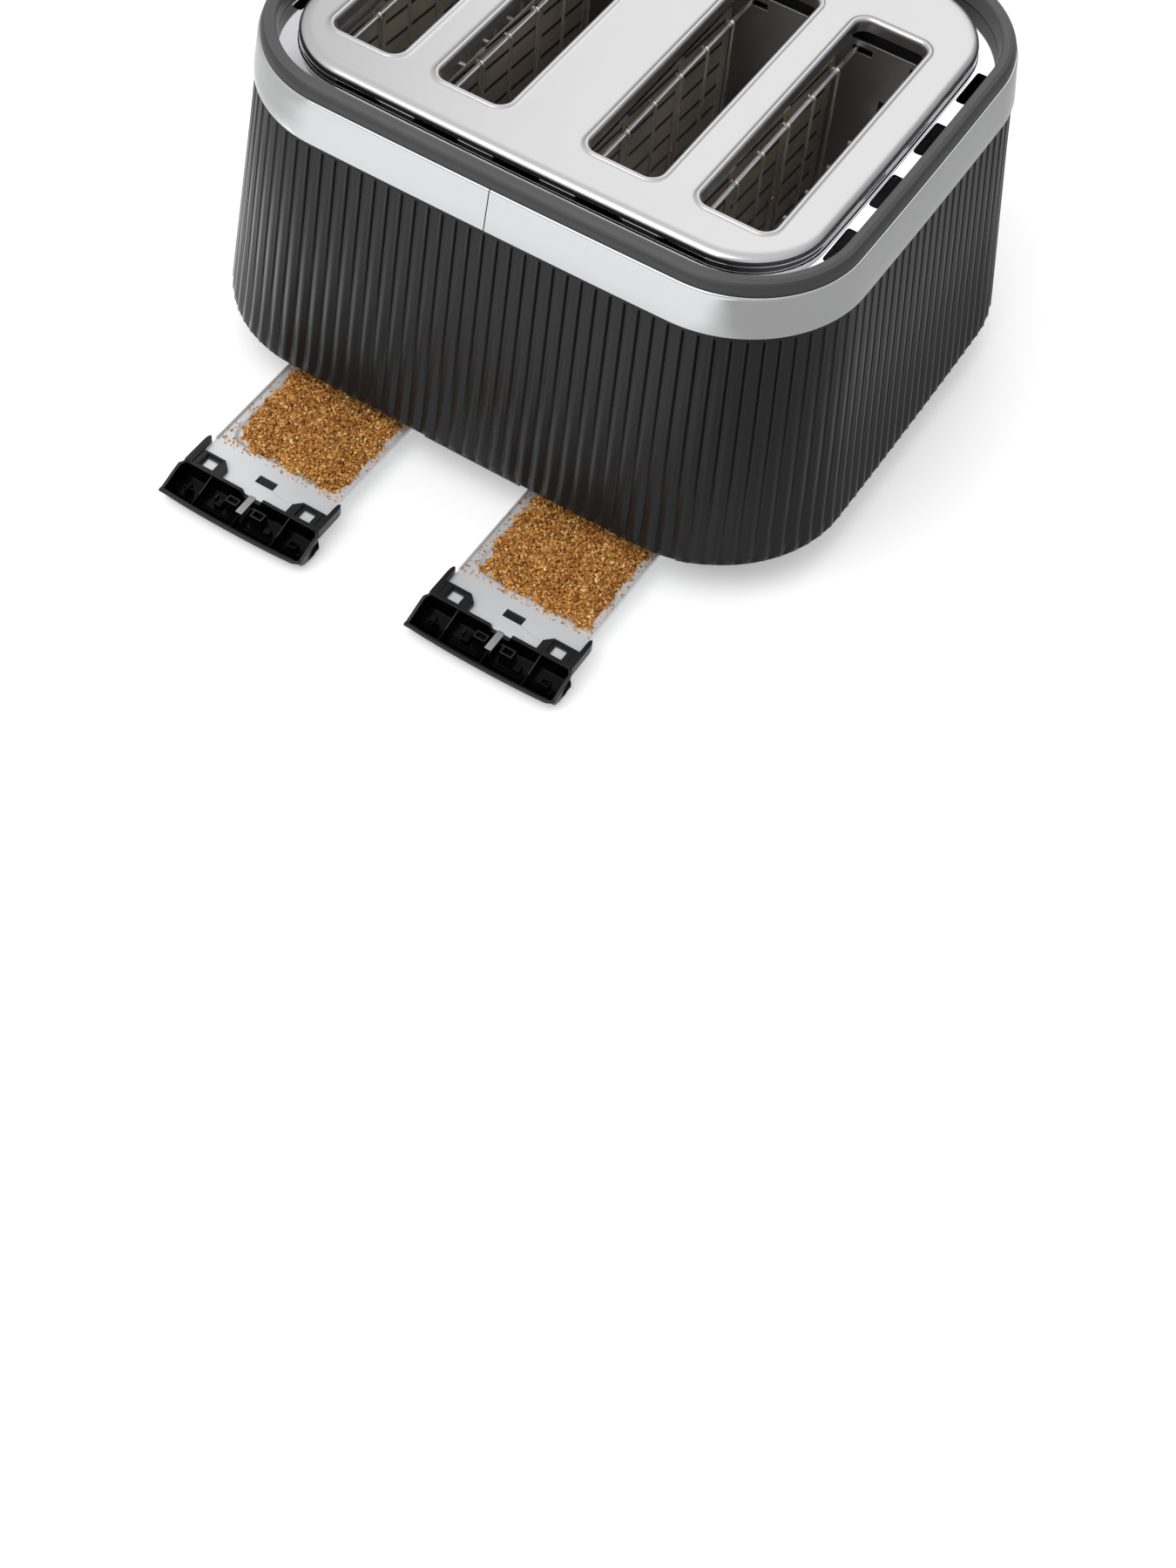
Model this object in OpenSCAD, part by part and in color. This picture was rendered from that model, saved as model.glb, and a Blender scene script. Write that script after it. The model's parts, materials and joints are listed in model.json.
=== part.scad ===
// Four-slot pop-up toaster: pleated plastic body, chrome band, steel top and two pull-out crumb trays.
// Frame: +Z up, table at z = 0, controls on the -Y side, crumb trays on the +Y side.
// Origin: centre of the body's footprint, on the table.

/* [Body] */
// Half width of the body at the chrome band's upper edge
half_w = 150; // [144:1:156]
// How much shallower than wide the body is, on each side
depth_less = 25; // [22:1:28]
// Corner radius at the chrome band's upper edge
corner_r = 56.3; // [52:0.1:60]
// Outward bulge at the middle of each side
side_bow = 1.5; // [0:0.1:2.5]
// Height of the chrome band's upper edge above the table
chrome_top = 173.6; // [172:0.1:175]
// Height of the chrome band
chrome_h = 20.4; // [19:0.1:22]
// How far the chrome band flares from top to bottom
chrome_flare = 3.5; // [3:0.1:4]
// Height of the pleated body's lower edge above the table
body_bottom = 22.6; // [22:0.1:24]
// How far the pleated body flares from the chrome band to its lower edge
body_flare = 14.1; // [12:0.1:15]
// Wall of the plastic body
wall = 2.5; // [2:0.1:3]

/* [Top] */
// Height of the steel top plate above the chrome band's upper edge
plate_rise = 4.8; // [4.4:0.1:5.4]
// Distance from the chrome band's upper edge in to the top plate
plate_inset = 18; // [17:0.5:19]
// Distance from the chrome band's upper edge in to the rim's inner wall
rim_inset = 8.6; // [8:0.1:9.5]

/* [Bread slots] */
// Clear width of a bread slot
slot_w = 36; // [34:0.5:37]
// Clear length of a bread slot
slot_l = 149.4; // [146:0.1:150]
// Distance of the inner slots' centres from the middle
slot_in = 38.9; // [38:0.1:40]
// Distance of the outer slots' centres from the middle
slot_out = 95; // [94.5:0.1:96]
// Distance of the slots' centres behind the middle of the body
slot_y = 8.9; // [8:0.1:10]

/* [Levers] */
// Travel of a lever, down from its rest
lever_travel = 58; // [50:1:58]
// Height of a lever's centre at rest
lever_z = 129; // [128:0.5:129.5]
// Radius of a carriage's guide rod
rod_r = 3; // [2.5:0.1:3.1]

/* [Crumb trays] */
// Width of a tray's plate
tray_w = 72.6; // [71:0.2:73]
// Length of a tray's plate
tray_l = 205; // [200:1:206]
// Height of the tray plate's upper face
tray_z = 9.8; // [9.6:0.1:10]
// Distance of the tray's centre line from the middle
tray_x = 70; // [69.5:0.1:70.5]
// How far the trays are pulled out from closed
tray_out = 91; // [89:1:92]
// Width of a tray's handle
handle_w = 81; // [79:1:82]

/* [Controls] */
// Width of a control panel
panel_w = 74; // [72:1:75]
// Height of a control panel
panel_h = 106; // [104:1:107]
// Radius of a browning knob
knob_r = 14.5; // [13:0.5:15]
// Radius of a knob's shaft
shaft_r = 3; // [2.5:0.1:3.2]

/* [Hidden] */
$fn = 48;

// Small distances used throughout
cut = 1;                        // how far a cutter runs past the face that it cuts
gap = 0.3;                      // clearance between neighbouring covers
sheet = 1;                      // thickness of the steel sheet parts

// Outline of the body: rounded rectangle with slightly bowed sides
arc_steps = 12;
side_steps = 6;
chrome_bottom = chrome_top - chrome_h;
corner_flare_chrome = 4.9;      // growth of the corner radius down the chrome band
corner_flare_body = 7.8;        // growth of the corner radius down the pleated body

function flare_at(z) =
    z >= chrome_bottom
    ? chrome_flare * (chrome_top - z) / chrome_h
    : chrome_flare + body_flare * (chrome_bottom - z) / (chrome_bottom - body_bottom);
function corner_at(z) =
    z >= chrome_bottom
    ? corner_r + corner_flare_chrome * (chrome_top - z) / chrome_h
    : corner_r + corner_flare_chrome + corner_flare_body * (chrome_bottom - z) / (chrome_bottom - body_bottom);
function bow_of(u, half) = side_bow * max(0, 1 - pow(u / half, 2));

// One corner's arc, then the straight run to the next corner
function quarter(a, b, r, k) =
    let (
        sx = [1, -1, -1, 1][k],
        sy = [1, 1, -1, -1][k],
        next = (k + 1) % 4,
        nx = [1, -1, -1, 1][next],
        ny = [1, 1, -1, -1][next],
        from = [sx * (a - r), sy * (b - r)] + r * [cos(90 * (k + 1)), sin(90 * (k + 1))],
        to = [nx * (a - r), ny * (b - r)] + r * [cos(90 * (k + 1)), sin(90 * (k + 1))]
    )
    concat(
        [for (i = [0 : arc_steps])
            let (t = 90 * k + 90 * i / arc_steps)
            [sx * (a - r) + r * cos(t), sy * (b - r) + r * sin(t)]],
        [for (i = [1 : side_steps - 1]) from + (to - from) * i / side_steps]
    );
function bowed(p, a, b, r) =
    let (
        wx = max(0, min(1, (abs(p[0]) - (a - r)) / r)),
        wy = max(0, min(1, (abs(p[1]) - (b - r)) / r))
    )
    [p[0] + sign(p[0]) * bow_of(p[1], b) * wx, p[1] + sign(p[1]) * bow_of(p[0], a) * wy];
function outline(a, b, r) = [for (k = [0 : 3]) for (p = quarter(a, b, r, k)) bowed(p, a, b, r)];

// The body's outline at height z, moved out by off
function body_ring(z, off) =
    let (
        a = half_w + flare_at(z) + off,
        b = a - depth_less,
        r = corner_at(z) + off
    )
    [for (p = outline(a, b, r)) [p[0], p[1], z]];
// The same outline measured from the chrome band's upper edge, for parts with upright walls
function top_outline(off) = outline(half_w + off, half_w - depth_less + off, corner_r + off);
function top_ring(z, off) = [for (p = top_outline(off)) [p[0], p[1], z]];
ring_n = 4 * (arc_steps + side_steps);

// A closed hollow ring through a loop of outlines
module ring_loft(rings) {
    m = len(rings);
    polyhedron(
        points = [for (ring = rings) for (p = ring) p],
        faces = [for (j = [0 : m - 1]) for (i = [0 : ring_n - 1])
            let (
                p = j * ring_n + i,
                q = j * ring_n + (i + 1) % ring_n,
                u = ((j + 1) % m) * ring_n + i,
                v = ((j + 1) % m) * ring_n + (i + 1) % ring_n
            )
            for (f = [[p, u, q], [q, u, v]]) f]
    );
}

// A solid block through a stack of outlines, closed by a flat cap at each end
module block_loft(rings) {
    m = len(rings);
    polyhedron(
        points = [for (ring = rings) for (p = ring) p],
        faces = concat(
            [for (j = [0 : m - 2]) for (i = [0 : ring_n - 1])
                let (
                    p = j * ring_n + i,
                    q = j * ring_n + (i + 1) % ring_n,
                    u = (j + 1) * ring_n + i,
                    v = (j + 1) * ring_n + (i + 1) % ring_n
                )
                for (f = [[p, u, q], [q, u, v]]) f],
            [[for (i = [0 : ring_n - 1]) i]],
            [[for (i = [0 : ring_n - 1]) m * ring_n - 1 - i]]
        )
    );
}

// Rectangle with round corners
module rounded(w, h, r) {
    polygon([for (k = [0 : 3]) for (i = [0 : 6])
        let (t = 90 * k + 15 * i, sx = [1, -1, -1, 1][k], sy = [1, 1, -1, -1][k])
        [sx * (w / 2 - r) + r * cos(t), sy * (h / 2 - r) + r * sin(t)]]);
}

// Box given by its low and high corners
module span(low, high) {
    translate(low) cube(high - low);
}

// Rod along an axis from a starting point
module rod_x(at, len, r) { translate(at) rotate([0, 90, 0]) cylinder(h = len, r = r); }
module rod_y(at, len, r) { translate(at) rotate([-90, 0, 0]) cylinder(h = len, r = r); }
module rod_z(at, len, r) { translate(at) cylinder(h = len, r = r); }

// Heights
base_z = 21;                    // underside of the base's floor
floor_t = 3;
floor_z = base_z + floor_t;     // top of the base's floor
skirt_z = 6;                    // lower edge of the base's skirt
skirt_out = 5;                  // the base's skirt, measured from the chrome band's upper edge
foot_z = 7;                     // top of the rubber feet
plate_top = chrome_top + plate_rise;
skirt_low = chrome_top - 4.6;   // lower edge of the top plate's skirt
ring_z = chrome_top - 4.2;      // underside of the vented ring
rim_foot = chrome_top - 2.7;    // lower edge of the rim's inner wall
neck_top = chrome_top - 3;      // upper edge of the shell's neck
end_top = skirt_low - 4.4;      // top of the end plates
bracket_z = end_top - 17;       // underside of the bracket that holds a guide rod's top
guide_top = end_top - 5;        // upper wire of a bread guide
guide_low = 44;                 // lower wire of a bread guide
board_low = 40;                 // lower edge of the mica boards
board_top = end_top - 13;       // upper edge of the mica boards

// Slots 1 to 4, and the lever that serves each pair; side +1 is the left pair as seen from behind
slot_x = [slot_out, slot_in, -slot_in, -slot_out];
lever_x = (slot_in + slot_out) / 2;

// Chassis planes along Y
front_y = -68.5;                // front face of the front end plate
rear_y = 87;                    // rear face of the rear end plate
rod_y0 = -95;                   // centre of the guide rods

// ---------------------------------------------------------------- covers
panel_z = 88;                   // height of a control panel's centre
panel_proud = 1;                // how far a panel's face stands out of the body
tilt = atan(body_flare / (chrome_bottom - body_bottom));
panel_y = -(half_w - depth_less + flare_at(panel_z) + bow_of(lever_x, half_w) + panel_proud);
panel_t = 3;
panel_r = 8;

// Things drawn in a panel's own frame: x across, y up the panel, z out of its face
module on_panel(side) {
    translate([side * lever_x, panel_y, panel_z]) rotate([90 - tilt, 0, 0]) children();
}

lip_drop = 1.3;                 // how far the shell stands in behind the chrome band
module outer_shell() {
    color([0.17, 0.17, 0.175]) difference() {
        ring_loft([
            body_ring(body_bottom, 0),
            body_ring(chrome_bottom - gap, -lip_drop),
            body_ring(neck_top, -lip_drop),
            body_ring(neck_top, -lip_drop - wall),
            body_ring(chrome_bottom - gap, -lip_drop - wall),
            body_ring(body_bottom + 8, -wall),
            body_ring(body_bottom, -wall)
        ]);
        for (side = [-1, 1]) on_panel(side)
            translate([0, 0, -14]) linear_extrude(24)
                rounded(panel_w + 2 * gap, panel_h + 2 * gap, panel_r + gap);
    }
}

band_t = 1;
seam = 0.3;                     // gap between the two halves of the band
module chrome_band(side) {
    color([0.86, 0.87, 0.88]) difference() {
        ring_loft([
            body_ring(chrome_bottom, 0),
            body_ring(chrome_top - 0.5, 0),
            body_ring(chrome_top, -0.4),
            body_ring(chrome_top, -band_t),
            body_ring(chrome_bottom, -band_t)
        ]);
        translate([side > 0 ? -300 + seam / 2 : -seam / 2, -200, 0]) cube([300, 400, 300]);
    }
}
module chrome_band_left() { chrome_band(1); }
module chrome_band_right() { chrome_band(-1); }

module top_rim() {
    z0 = chrome_top + 0.2;
    color([0.3, 0.3, 0.31]) ring_loft([
        top_ring(z0, -0.2),
        top_ring(z0 + 2, -0.6),
        top_ring(z0 + 4.3, -2),
        top_ring(z0 + 5.7, -4.2),
        top_ring(z0 + 6.2, -5),
        top_ring(z0 + 6.2, -rim_inset + 1.4),
        top_ring(z0 + 5.4, -rim_inset + 0.4),
        top_ring(z0 + 4, -rim_inset),
        top_ring(rim_foot, -rim_inset),
        top_ring(rim_foot, -rim_inset + 1.8),
        top_ring(z0, -rim_inset + 4)
    ]);
}

ring_t = 1.2;
vent_l = 24;
vent_w = 5;
vent_r = 1.6;
vent_pitch = 41.7;
vent_mid = half_w - 12.2;       // centre line of the vents at the sides
module vent_ring() {
    color([0.8, 0.8, 0.81]) translate([0, 0, ring_z]) linear_extrude(ring_t) difference() {
        polygon(top_outline(-6));
        polygon(top_outline(-plate_inset + 0.3));
        for (side = [-1, 1], k = [-1.5 : 1.5])
            translate([side * vent_mid, 1 + k * vent_pitch]) rounded(vent_w, vent_l, vent_r);
        for (side = [-1, 1], k = [-2 : 2])
            translate([k * vent_pitch, side * (vent_mid - depth_less)]) rounded(vent_l, vent_w, vent_r);
    }
}

slot_r = 6;                     // corner radius of a slot
module top_plate() {
    edge = -plate_inset;
    color([0.75, 0.75, 0.76]) difference() {
        union() {
            difference() {
                block_loft([
                    top_ring(skirt_low, edge),
                    top_ring(plate_top - 4, edge),
                    top_ring(plate_top - 1.6, edge - 0.9),
                    top_ring(plate_top - 0.4, edge - 2.6),
                    top_ring(plate_top, edge - 4.6)
                ]);
                block_loft([
                    top_ring(skirt_low - cut, edge - sheet),
                    top_ring(plate_top - 4.2, edge - sheet),
                    top_ring(plate_top - 2.2, edge - 2.2),
                    top_ring(plate_top - sheet, edge - 5)
                ]);
            }
            for (x = slot_x) translate([x, slot_y, plate_top - 6])
                linear_extrude(5.5) rounded(slot_w + 2 * sheet, slot_l + 2 * sheet, slot_r + sheet);
        }
        for (x = slot_x) translate([x, slot_y, plate_top - 8])
            linear_extrude(12) rounded(slot_w, slot_l, slot_r);
    }
}

// ---------------------------------------------------------------- base
foot_x = 126;
foot_y = 98;
foot_r = 11;
foot_boss = foot_r + 1;         // radius of the boss above a foot
floor_out = 14.4;               // the base's floor, measured from the chrome band's upper edge
window_w = 62;                  // opening in the floor above a tray
window_y0 = -78;
window_y1 = 88;
handle_bay = handle_w + 4;      // opening in the base's skirt for a handle
gland_z = 13;
gland_r = 5.5;
gland_l = 12;
gland_lip = 0.5;
lead_r = 3.7;                   // radius of the hole for the mains lead
screw_r = 1.6;
screw_head = 3.2;
screw_at = concat(
    [for (sx = [-1, 1], sy = [-1, 1]) [sx * 116, sy * 60]],
    [for (sx = [-1, 1], sy = [-1, 1]) [sx * 24, sy * 104]]
);

module base_plate() {
    color([0.12, 0.12, 0.12]) difference() {
        translate([0, 0, base_z]) linear_extrude(floor_t) polygon(top_outline(floor_out));
        for (side = [-1, 1])
            span([side * tray_x - window_w / 2, window_y0, base_z - cut],
                 [side * tray_x + window_w / 2, window_y1, floor_z + cut]);
        for (p = screw_at) rod_z([p[0], p[1], base_z - cut], floor_t + 2 * cut, screw_r + 0.1);
    }
}

// Wall under the floor, open at the back for the trays, and a boss for each foot
module base_skirt() {
    color([0.12, 0.12, 0.12]) {
        difference() {
            translate([0, 0, skirt_z]) linear_extrude(base_z - skirt_z) difference() {
                polygon(top_outline(skirt_out));
                polygon(top_outline(skirt_out - wall));
            }
            for (side = [-1, 1])
                span([side * tray_x - handle_bay / 2, 90, skirt_z - cut],
                     [side * tray_x + handle_bay / 2, 140, base_z + cut]);
            rod_y([0, 115, gland_z], 30, gland_r);
        }
        for (sx = [-1, 1], sy = [-1, 1])
            rod_z([sx * foot_x, sy * foot_y, foot_z], base_z - foot_z, foot_boss);
    }
}

module rubber_feet() {
    color([0.08, 0.08, 0.08]) for (sx = [-1, 1], sy = [-1, 1]) translate([sx * foot_x, sy * foot_y, 0])
        rotate_extrude() polygon([
            [0, 0], [foot_r - 1.5, 0], [foot_r - 0.6, 0.8], [foot_r, foot_z], [0, foot_z]
        ]);
}

module base_screws() {
    color([0.6, 0.6, 0.62]) for (p = screw_at) translate([p[0], p[1], 0]) difference() {
        union() {
            rod_z([0, 0, base_z - 2], 2, screw_head);
            rod_z([0, 0, base_z - 0.5], 9, screw_r);
        }
        for (turn = [0, 90]) rotate(turn) span([-1.8, -0.4, base_z - 2 - cut], [1.8, 0.4, base_z - 1]);
    }
}

rail_half = 92;                 // half length of a rail
rail_lip = 3;
rail_low = tray_z - 2.1;        // underside of a rail's lower lip
module tray_rails() {
    color([0.7, 0.71, 0.72]) for (side = [-1, 1], edge = [-1, 1]) {
        x0 = side * tray_x + edge * (tray_w / 2 + 0.5);
        x1 = x0 + edge * sheet;
        xi = x0 - edge * rail_lip;
        span([min(x0, x1), -rail_half, rail_low], [max(x0, x1), rail_half, base_z]);
        span([min(xi, x0), -rail_half, rail_low], [max(xi, x0), rail_half, rail_low + sheet]);
        span([min(xi, x0), -rail_half, base_z - sheet], [max(xi, x0), rail_half, base_z]);
    }
}

module cord_gland() {
    y1 = half_w - depth_less + skirt_out + side_bow;
    color([0.1, 0.1, 0.1]) difference() {
        union() {
            rod_y([0, y1 - gland_l, gland_z], gland_l, gland_r - 0.05);
            rod_y([0, y1, gland_z], gland_lip, gland_r + 0.4);
        }
        rod_y([0, y1 - gland_l - cut, gland_z], gland_l + gland_lip + 2 * cut, lead_r);
    }
}

// ---------------------------------------------------------------- chassis
rack_slit = 4;
slit_top = 137;                 // top of the slit that a rack runs in
guide_rest = 18.2;              // a bread guide's distance from its slot's middle, at rest
guide_close = 0.11 * lever_travel;
wire_r = 1.1;

// Cuts through both end plates: racks run up and down, guides move in and out
module end_cuts(y) {
    for (x = slot_x) {
        span([x - rack_slit / 2, y - cut, 49], [x + rack_slit / 2, y + sheet + cut, slit_top]);
        for (s = [-1, 1], z = [guide_top, guide_low]) {
            xa = x + s * (guide_rest + 2);
            xb = x + s * (guide_rest - guide_close - 2);
            span([min(xa, xb), y - cut, z - 1.7], [max(xa, xb), y + sheet + cut, z + 1.7]);
        }
    }
}

end_half = 128;
module end_plate_front() {
    color([0.45, 0.45, 0.46]) difference() {
        span([-end_half, front_y, floor_z], [end_half, front_y + sheet, end_top]);
        end_cuts(front_y);
    }
}

module end_plate_rear() {
    color([0.45, 0.45, 0.46]) difference() {
        span([-end_half, rear_y - sheet, floor_z], [end_half, rear_y, end_top]);
        end_cuts(rear_y - sheet);
    }
}

module heat_shields() {
    color([0.7, 0.7, 0.72]) for (side = [-1, 1]) {
        x0 = side * end_half;
        x1 = side * (end_half + sheet);
        span([min(x0, x1), front_y, floor_z], [max(x0, x1), rear_y, end_top]);
    }
}

// Mica boards: one against each side of every slot, shared between neighbouring slots
board_gap = 28.1;               // distance of a board from the middle of its slot
board_x = [slot_out + board_gap, slot_in + board_gap, slot_in - board_gap,
           -slot_in + board_gap, -slot_in - board_gap, -slot_out - board_gap];
board_t = 0.8;
strap_t = 1.2;                  // half thickness of a strap that wraps a board
module heater_board(k) {
    color([0.36, 0.3, 0.24]) {
        span([board_x[k] - board_t / 2, front_y + sheet, board_low],
             [board_x[k] + board_t / 2, rear_y - sheet, board_top]);
        for (y = [-64, -20, 30, 80])
            span([board_x[k] - strap_t, y - 2, board_low], [board_x[k] + strap_t, y + 2, board_top]);
    }
}
module heater_board_1() { heater_board(0); }
module heater_board_2() { heater_board(1); }
module heater_board_3() { heater_board(2); }
module heater_board_4() { heater_board(3); }
module heater_board_5() { heater_board(4); }
module heater_board_6() { heater_board(5); }

module guide_rods() {
    color([0.75, 0.75, 0.77]) for (side = [-1, 1])
        rod_z([side * lever_x, rod_y0, floor_z], bracket_z - floor_z, rod_r);
}

module rod_brackets() {
    color([0.45, 0.45, 0.46]) for (side = [-1, 1]) {
        cx = side * lever_x;
        span([cx - 9, rod_y0 - 7, bracket_z], [cx + 9, front_y, bracket_z + 2]);
    }
}

// Circuit board behind a control panel, with the knob's potentiometer and three switches
pcb_y = -121;
button_x = -23;
button_zs = [92, 107, 122];
knob_z = 46.5;
stem_h = 8;                     // height of a lever's stem
slot_top = lever_z + stem_h / 2 + 3;
slot_low = lever_z - lever_travel - stem_h / 2 - 3;
button_w = 12;
button_h = 8;
shaft_l = 15.4;                 // a knob's shaft, behind the panel's face
knob_back = -141.3;             // rear face of a lever's knob
pcb_t = 1.6;
module control_board(side) {
    cx = side * lever_x;
    color([0.1, 0.35, 0.18]) difference() {
        union() {
            span([cx - 33, pcb_y, floor_z], [cx + 33, pcb_y + pcb_t, 60]);
            span([cx + button_x - 11, pcb_y, 56], [cx + button_x + 11, pcb_y + pcb_t, 133]);
            span([cx - 9, pcb_y - 5, knob_z - 9], [cx + 9, pcb_y + 0.5, knob_z + 9]);
            for (z = button_zs)
                span([cx + button_x - 4, pcb_y - 3, z - 4], [cx + button_x + 4, pcb_y + 0.5, z + 4]);
        }
        rod_y([cx + 27, pcb_y - cut, 28], 2 * cut + pcb_t, screw_r);
        rod_y([cx - 27, pcb_y - cut, 28], 2 * cut + pcb_t, screw_r);
    }
}
module control_board_left() { control_board(1); }
module control_board_right() { control_board(-1); }

magnet_x = 20;                  // from a lever to its electromagnet
magnet_y = -100;
module electromagnet(side) {
    cx = side * lever_x + magnet_x;
    color([0.55, 0.3, 0.15]) {
        span([cx - 7, magnet_y - 8, floor_z], [cx + 7, magnet_y + 8, floor_z + 3]);
        rod_z([cx, magnet_y, floor_z + 2], 16, 7);
        rod_z([cx, magnet_y, floor_z + 17], 5, 4);
    }
}
module electromagnet_left() { electromagnet(1); }
module electromagnet_right() { electromagnet(-1); }

module terminal_block() {
    color([0.9, 0.9, 0.86]) difference() {
        span([-17, 98, floor_z], [17, 110, floor_z + 16]);
        for (x = [-10, 0, 10]) rod_z([x, 104, floor_z + 6], 12, 2.2);
    }
}

// ---------------------------------------------------------------- control panels
module control_panel(side) {
    color([0.1, 0.1, 0.105]) on_panel(side) difference() {
        translate([0, 0, -panel_t]) linear_extrude(panel_t) rounded(panel_w, panel_h, panel_r);
        translate([0, (slot_top + slot_low) / 2 - panel_z, -panel_t - cut])
            linear_extrude(panel_t + 2 * cut) rounded(6, slot_top - slot_low, 2.9);
        for (z = button_zs) translate([button_x, z - panel_z, -panel_t - cut])
            linear_extrude(panel_t + 2 * cut) rounded(button_w + 1, button_h + 1, 2.5);
        translate([0, knob_z - panel_z, -panel_t - cut]) cylinder(h = panel_t + 2 * cut, r = shaft_r + 0.5);
    }
}
module control_panel_left() { control_panel(1); }
module control_panel_right() { control_panel(-1); }

module browning_knob(side) {
    color([0.75, 0.76, 0.77]) on_panel(side) translate([0, knob_z - panel_z, 0]) {
        difference() {
            translate([0, 0, 0.8]) rotate_extrude()
                polygon([[0, 0], [knob_r, 0], [knob_r, 2], [knob_r - 1.2, 3], [knob_r - 1.8, 12],
                         [knob_r - 3, 13], [0, 13]]);
            span([-0.7, 4, 12.8], [0.7, knob_r - 2, 15]);
        }
        translate([0, 0, -shaft_l]) cylinder(h = shaft_l + 1, r = shaft_r);
    }
}
module browning_knob_left() { browning_knob(1); }
module browning_knob_right() { browning_knob(-1); }

module push_button(side, k) {
    color([0.72, 0.73, 0.74]) on_panel(side) translate([button_x, button_zs[k] - panel_z, 0]) {
        translate([0, 0, -panel_t - 1.5]) linear_extrude(panel_t + 4.1) rounded(button_w, button_h, 2);
        translate([0, 0, -panel_t - 1.5]) linear_extrude(1.2) rounded(button_w + 3, button_h + 2.6, 2);
    }
}
module cancel_button_left() { push_button(1, 0); }
module cancel_button_right() { push_button(-1, 0); }
module defrost_button_left() { push_button(1, 1); }
module defrost_button_right() { push_button(-1, 1); }
module reheat_button_left() { push_button(1, 2); }
module reheat_button_right() { push_button(-1, 2); }

// ---------------------------------------------------------------- lift mechanism
rack_top = 119;                 // top of a rack's bar at rest
carriage_z = 109;
spring_r = 5.6;
spring_wire = 0.8;
hub_r = 6;                      // a carriage's bushing on its guide rod
hub_h = 18;
hub_z = carriage_z - 4;
module carriage(side) {
    cx = side * lever_x;
    xa = side > 0 ? slot_in : -slot_out;
    xb = side > 0 ? slot_out : -slot_in;
    color([0.66, 0.67, 0.69]) difference() {
        union() {
            span([xa - 5, -102, carriage_z], [xb + 5, -84, carriage_z + 2]);
            for (x = [xa, xb]) span([x + 0.8, -90, carriage_z], [x + 2.4, -79, rack_top]);
            rod_z([cx, rod_y0, hub_z], hub_h, hub_r);
            span([cx - 1.5, knob_back - 2.9, lever_z - stem_h / 2], [cx + 1.5, -103, lever_z + stem_h / 2]);
            span([cx - 1.5, -107, carriage_z], [cx + 1.5, -101, lever_z + stem_h / 2]);
            span([cx + magnet_x - 5, magnet_y - 6, carriage_z],
                 [cx + magnet_x + 5, magnet_y + 6, carriage_z + 2]);
        }
        rod_z([cx, rod_y0, hub_z - cut], hub_h + 2 * cut, rod_r + 0.5);
    }
}
module carriage_left() { carriage(1); }
module carriage_right() { carriage(-1); }

module carriage_spring(side) {
    z0 = floor_z + 0.1;
    z1 = hub_z - 0.1;
    color([0.5, 0.5, 0.52]) translate([side * lever_x, rod_y0, z0]) difference() {
        cylinder(h = z1 - z0, r = spring_r);
        translate([0, 0, -cut]) cylinder(h = z1 - z0 + 2 * cut, r = spring_r - spring_wire);
    }
}
module carriage_spring_left() { carriage_spring(1); }
module carriage_spring_right() { carriage_spring(-1); }

module lever_knob(side) {
    color([0.75, 0.76, 0.77]) translate([side * lever_x, knob_back, lever_z]) rotate([90, 0, 0])
        difference() {
            hull() {
                linear_extrude(9) rounded(30, 15, 6);
                linear_extrude(13) rounded(25, 10, 4.5);
            }
            translate([-1.5, -stem_h / 2, -cut]) cube([3, stem_h, cut + 2.9]);
        }
}
module lever_knob_left() { lever_knob(1); }
module lever_knob_right() { lever_knob(-1); }

module bread_rack(k) {
    x = slot_x[k];
    color([0.66, 0.67, 0.69]) {
        span([x - 0.8, -84, rack_top - 9], [x + 0.8, rear_y + 4, rack_top - 1]);
        for (y = [-54 : 21 : 72]) span([x - 8, y - 1, rack_top - 3], [x + 8, y + 1, rack_top]);
    }
}
module bread_rack_1() { bread_rack(0); }
module bread_rack_2() { bread_rack(1); }
module bread_rack_3() { bread_rack(2); }
module bread_rack_4() { bread_rack(3); }

// Wire grid at one side of a slot: side +1 is the +X side
wire_pitch = 23.4;
wire_y0 = -47;
module bread_guide(k, side) {
    x = slot_x[k] + side * guide_rest;
    color([0.8, 0.8, 0.82]) {
        for (z = [guide_top, guide_low]) rod_y([x, front_y - 1.5, z], rear_y - front_y + 3, wire_r);
        for (i = [0 : 5]) rod_z([x, wire_y0 + i * wire_pitch, guide_low], guide_top - guide_low, 0.8);
    }
}
module bread_guide_1() { bread_guide(0, 1); }
module bread_guide_2() { bread_guide(0, -1); }
module bread_guide_3() { bread_guide(1, 1); }
module bread_guide_4() { bread_guide(1, -1); }
module bread_guide_5() { bread_guide(2, 1); }
module bread_guide_6() { bread_guide(2, -1); }
module bread_guide_7() { bread_guide(3, 1); }
module bread_guide_8() { bread_guide(3, -1); }

// ---------------------------------------------------------------- crumb trays
tray_t = 0.8;
back_y = 213;                   // rear edge of a tray's plate, pulled out
module crumb_tray(side) {
    cx = side * tray_x;
    color([0.75, 0.76, 0.78]) difference() {
        union() {
            span([cx - tray_w / 2, back_y - tray_l, tray_z - tray_t], [cx + tray_w / 2, back_y, tray_z]);
            for (e = [-1, 1]) span([cx + e * tray_w / 2 - (e > 0 ? 0.8 : 0), back_y - tray_l, tray_z - 0.1],
                                   [cx + e * tray_w / 2 + (e > 0 ? 0 : 0.8), back_y - 19, tray_z + 1.6]);
            span([cx - 2.5, back_y - 1, tray_z - tray_t], [cx + 2.5, back_y + 6.5, tray_z]);
        }
        span([cx - 5.2, back_y - 13.5, tray_z - tray_t - cut], [cx + 5.2, back_y - 8.5, tray_z + cut]);
    }
}
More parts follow.
